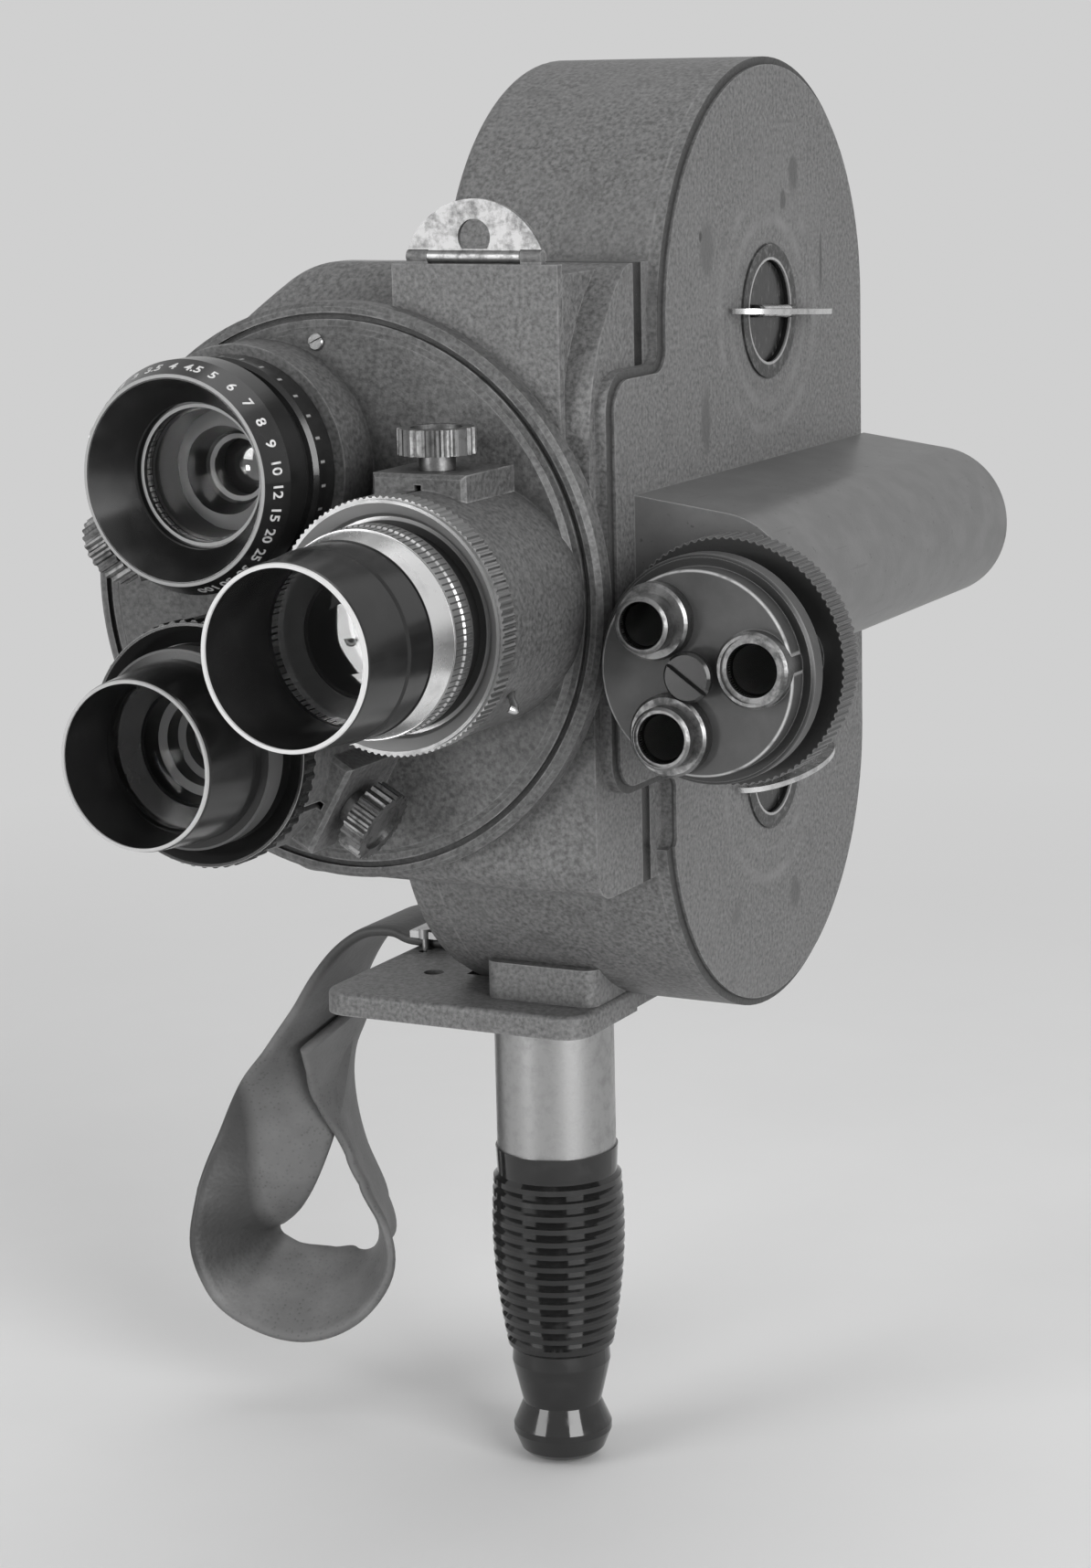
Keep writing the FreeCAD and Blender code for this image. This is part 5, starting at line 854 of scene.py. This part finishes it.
def lens_catch():
    """Small bent wire on lens A's boss, just clear of the grip."""
    axis = lens_axis(0)
    turn = radians(catch_angle)
    outward = Vector((cos(turn), 0, sin(turn)))
    places = [Vector((axis[0], y, axis[1])) + outward * r for r, y in catch_path]
    curve = bpy.data.curves.new("lens_a_catch", "CURVE")
    curve.dimensions = "3D"
    curve.bevel_depth = catch_radius * MM
    curve.bevel_resolution = 3
    curve.use_fill_caps = True
    line = curve.splines.new("NURBS")
    line.points.add(len(places) - 1)
    for point, place in zip(line.points, places):
        point.co = (*(place * MM), 1.0)
    line.order_u = 3
    line.use_endpoint_u = True
    curve.materials.append(worn_nickel("catch_nickel", shade=0.6, spots=0.3).material)
    made = bpy.data.objects.new("lens_a_catch", curve)
    bpy.context.scene.collection.objects.link(made)
    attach(made, "turret")


def small_fittings():
    """Two slotted screws and the wire catch on the lens turret."""
    steel = worn_nickel("small_screws", shade=0.4, spots=0.12)
    for i, (place, slot) in enumerate(turret_screws):
        slotted_screw(f"turret_screw_{i + 1}", place, slot, steel)
    lens_catch()


# Hand strap, in millimetres: middle of the strap and the direction of its width
strap_width = 26.0
strap_thickness = 2.5
strap_lie = 6.35
strap_y = 10.0
strap_dark_side = -81.5
strap_dark_foot = -80.0
strap_dark_top = -7.0
strap_line = [
    ((-23.0, strap_y, strap_lie), (0, 1, 0)), ((-34.5, strap_y, strap_lie), (0, 1, 0)),
    ((-40.0, strap_y, strap_lie + 1.4), (0, 1, 0)), ((-47.5, strap_y, strap_lie + 0.2), (0, 1, 0)),
    ((-54.5, strap_y, 1.8), (0, 1, 0)), ((-60.5, strap_y, -6.0), (0.05, 1, 0)),
    ((-65.5, 9.5, -16.0), (0.15, 1, 0)), ((-70.0, 8.0, -28.0), (0.45, 0.9, 0)),
    ((-74.5, 6.0, -40.0), (0.8, 0.6, 0)), ((-79.0, 4.0, -52.0), (0.9, 0.45, 0)),
    ((-84.0, 2.0, -63.0), (0.75, 0.68, 0.1)), ((-87.5, 2.0, -72.0), (0.43, 0.9, 0.15)),
    ((-85.5, 3.0, -79.5), (0.1, 0.85, 0.55)), ((-78.5, 4.0, -84.0), (-0.2, 0.75, 0.65)),
    ((-70.0, 6.0, -85.5), (-0.33, 0.67, 0.65)), ((-62.0, 9.0, -83.5), (-0.45, 0.75, 0.5)),
    ((-56.0, 13.0, -78.0), (-0.5, 0.85, 0.25)), ((-55.5, 17.0, -71.0), (-0.46, 0.89, 0.0)),
    ((-60.0, 20.5, -63.0), (-0.46, 0.89, 0)), ((-65.5, 22.5, -54.0), (-0.44, 0.89, 0)),
    ((-68.0, 21.5, -44.0), (-0.35, 0.93, 0)), ((-67.5, 18.0, -34.0), (-0.2, 0.98, 0)),
    ((-64.5, 13.5, -25.0), (-0.05, 1, 0)), ((-62.3, 10.5, -19.0), (0.1, 1, 0)),
]
strap_steps = 8
strap_edge_steps = 6
strap_flat_shares = (-0.9, -0.45, 0, 0.45, 0.9)
strap_reach = 0.02


def between_points(values, i, share):
    """Smooth curve through a list of vectors, a share of the way from point i to the next."""
    p0 = values[max(i - 1, 0)]
    p1 = values[i]
    p2 = values[min(i + 1, len(values) - 1)]
    p3 = values[min(i + 2, len(values) - 1)]
    return 0.5 * (
        2 * p1 + (p2 - p0) * share + (2 * p0 - 5 * p1 + 4 * p2 - p3) * share ** 2
        + (3 * p1 - p0 - 3 * p2 + p3) * share ** 3
    )


def strap_section():
    """Outline of the strap across its width, (across, up) in millimetres: a flat bar with rounded edges."""
    half = strap_thickness / 2
    flat = strap_width / 2 - half
    points = []
    for side in (1, -1):
        points += [(side * flat * share, side * half) for share in strap_flat_shares]
        for step in range(1, strap_edge_steps):
            angle = pi / 2 - pi * step / strap_edge_steps
            points.append((side * (flat + half * cos(angle)), side * half * sin(angle)))
    return points


def hand_strap():
    """Leather band swept along its line, in place of the part's own strap."""
    places = [Vector(place) for place, _ in strap_line]
    widths = [Vector(width) for _, width in strap_line]
    section = strap_section()
    verts = []
    count = (len(places) - 1) * strap_steps + 1
    for step in range(count):
        i, part = divmod(step, strap_steps)
        share = part / strap_steps
        here = between_points(places, i, share)
        ahead = between_points(places, i, share + strap_reach) if i < len(places) - 1 else here
        behind = between_points(places, i, share - strap_reach)
        along = (ahead - behind).normalized()
        across = between_points(widths, i, share)
        across = (across - along * across.dot(along)).normalized()
        up = along.cross(across)
        verts += [(here + across * u + up * v) * MM for u, v in section]
    sides = len(section)
    faces = []
    for step in range(count - 1):
        for side in range(sides):
            after = (side + 1) % sides
            start = step * sides
            faces.append((start + side, start + after, start + sides + after, start + sides + side))
    faces.append(tuple(range(sides))[::-1])
    faces.append(tuple((count - 1) * sides + side for side in range(sides)))
    strap = piece("leather_strap", verts, faces, strap_leather().material, "camera")
    smooth(strap.data)
    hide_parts("hand_strap")


def flattening_spring():
    """The pressure plate's leaf spring, as a copy of its mesh that rides on the camera in place of the part's
    own.
    """
    spring = bpy.data.objects.new("flattening_spring", NODES["pressure_spring"].data.copy())
    bpy.context.scene.collection.objects.link(spring)
    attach(spring, "camera")
    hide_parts("pressure_spring")
    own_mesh(spring)


# Stage


def seen_rays(tree):
    """1 for rays from the camera and through gloss or glass, 0 for the light that falls on the object."""
    rays = tree.nodes.new("ShaderNodeLightPath")
    total = None
    for name in ("Is Camera Ray", "Is Glossy Ray", "Is Transmission Ray"):
        if total is None:
            total = rays.outputs[name]
            continue
        made = tree.nodes.new("ShaderNodeMath")
        made.operation = "MAXIMUM"
        tree.links.new(total, made.inputs[0])
        tree.links.new(rays.outputs[name], made.inputs[1])
        total = made.outputs[0]
    return total


def room_finish():
    """Pale floor that fades into the plain background away from the object."""
    room = Finish("room", colour=floor_shade, roughness=0.7)
    room.shader.inputs["Specular IOR Level"].default_value = 0.2
    room.layer(room.ramp(room.noise(size=0.15, detail=4.0), 0.3, 0.8), colour=floor_shade * 0.94)
    length = room.node("ShaderNodeVectorMath", operation="LENGTH")
    room.link(room.place(), length.inputs[0])
    far = room.ramp(length.outputs["Value"], fade_start, fade_end)
    glow = room.node("ShaderNodeEmission")
    glow.inputs["Color"].default_value = (*grey(background_shade), 1.0)
    mix = room.node("ShaderNodeMixShader")
    room.link(room.times(far, seen_rays(room.tree)), mix.inputs[0])
    room.link(room.shader.outputs[0], mix.inputs[1])
    room.link(glow.outputs[0], mix.inputs[2])
    room.link(mix.outputs[0], room.tree.nodes["Material Output"].inputs["Surface"])
    return room


def make_room():
    """Round floor that bends up into a low wall, wide enough for a camera on any side."""
    profile = [(0.0, floor_z), (floor_radius, floor_z)]
    for step in range(1, wall_bend_steps + 1):
        angle = pi / 2 * step / wall_bend_steps
        profile.append((floor_radius + wall_bend * sin(angle), floor_z + wall_bend * (1 - cos(angle))))
    profile.append((floor_radius + wall_bend, wall_top))
    verts, faces = [], []
    count = len(profile)
    for step in range(room_sides):
        angle = 2 * pi * step / room_sides
        verts += [(r * cos(angle), r * sin(angle), z) for r, z in profile]
        here, after = step * count, (step + 1) % room_sides * count
        faces += [(here + i, here + i + 1, after + i + 1, after + i) for i in range(count - 1)]
    mesh = bpy.data.meshes.new("room")
    mesh.from_pydata(verts, [], faces)
    mesh.materials.append(room_finish().material)
    tidy_mesh(mesh, 60)
    made = bpy.data.objects.new("room", mesh)
    bpy.context.scene.collection.objects.link(made)


def make_lamp(name, place, aim, size, power):
    """Area lamp that faces aim and isn't seen itself."""
    light = bpy.data.lights.new(name, "AREA")
    light.shape = "RECTANGLE"
    light.size, light.size_y = size
    light.energy = power
    made = bpy.data.objects.new(name, light)
    made.location = place
    made.rotation_euler = (Vector(aim) - Vector(place)).to_track_quat("-Z", "Y").to_euler()
    made.visible_camera = False
    bpy.context.scene.collection.objects.link(made)


def make_lights():
    """Soft world that shows the plain background, and the lamps."""
    world = bpy.data.worlds.new("soft_world")
    world.use_nodes = True
    tree = world.node_tree
    light = tree.nodes["Background"]
    light.inputs["Color"].default_value = (1, 1, 1, 1)
    light.inputs["Strength"].default_value = world_strength
    seen = tree.nodes.new("ShaderNodeBackground")
    seen.inputs["Color"].default_value = (*grey(background_shade), 1.0)
    mix = tree.nodes.new("ShaderNodeMixShader")
    tree.links.new(seen_rays(tree), mix.inputs[0])
    tree.links.new(light.outputs[0], mix.inputs[1])
    tree.links.new(seen.outputs[0], mix.inputs[2])
    tree.links.new(mix.outputs[0], tree.nodes["World Output"].inputs["Surface"])
    bpy.context.scene.world = world
    for name, (place, aim, size, power) in lamps.items():
        make_lamp(name, place, aim, size, power)


def make_camera():
    """Camera at the picture's place, turned by its yaw, pitch and roll."""
    yaw, pitch, roll = radians(camera_yaw), radians(camera_pitch), radians(camera_roll)
    ahead = Vector((-sin(yaw) * cos(pitch), cos(yaw) * cos(pitch), -sin(pitch)))
    right = Vector((cos(yaw), sin(yaw), 0))
    up = right.cross(ahead)
    turned_right = right * cos(roll) + up * sin(roll)
    turned_up = up * cos(roll) - right * sin(roll)
    data = bpy.data.cameras.new("camera")
    data.sensor_width = camera_sensor
    data.lens = camera_lens
    data.clip_start = 0.01
    made = bpy.data.objects.new("camera", data)
    turn = Matrix((turned_right, turned_up, -ahead)).transposed().to_4x4()
    made.matrix_world = Matrix.Translation(camera_place) @ turn
    bpy.context.scene.collection.objects.link(made)
    bpy.context.scene.camera = made


make_camera()
make_room()
make_lights()
paint_nodes()
hand_strap()
flattening_spring()
lens_insides()
ring_numbers()
small_fittings()
bpy.context.scene.view_settings.view_transform = "Standard"
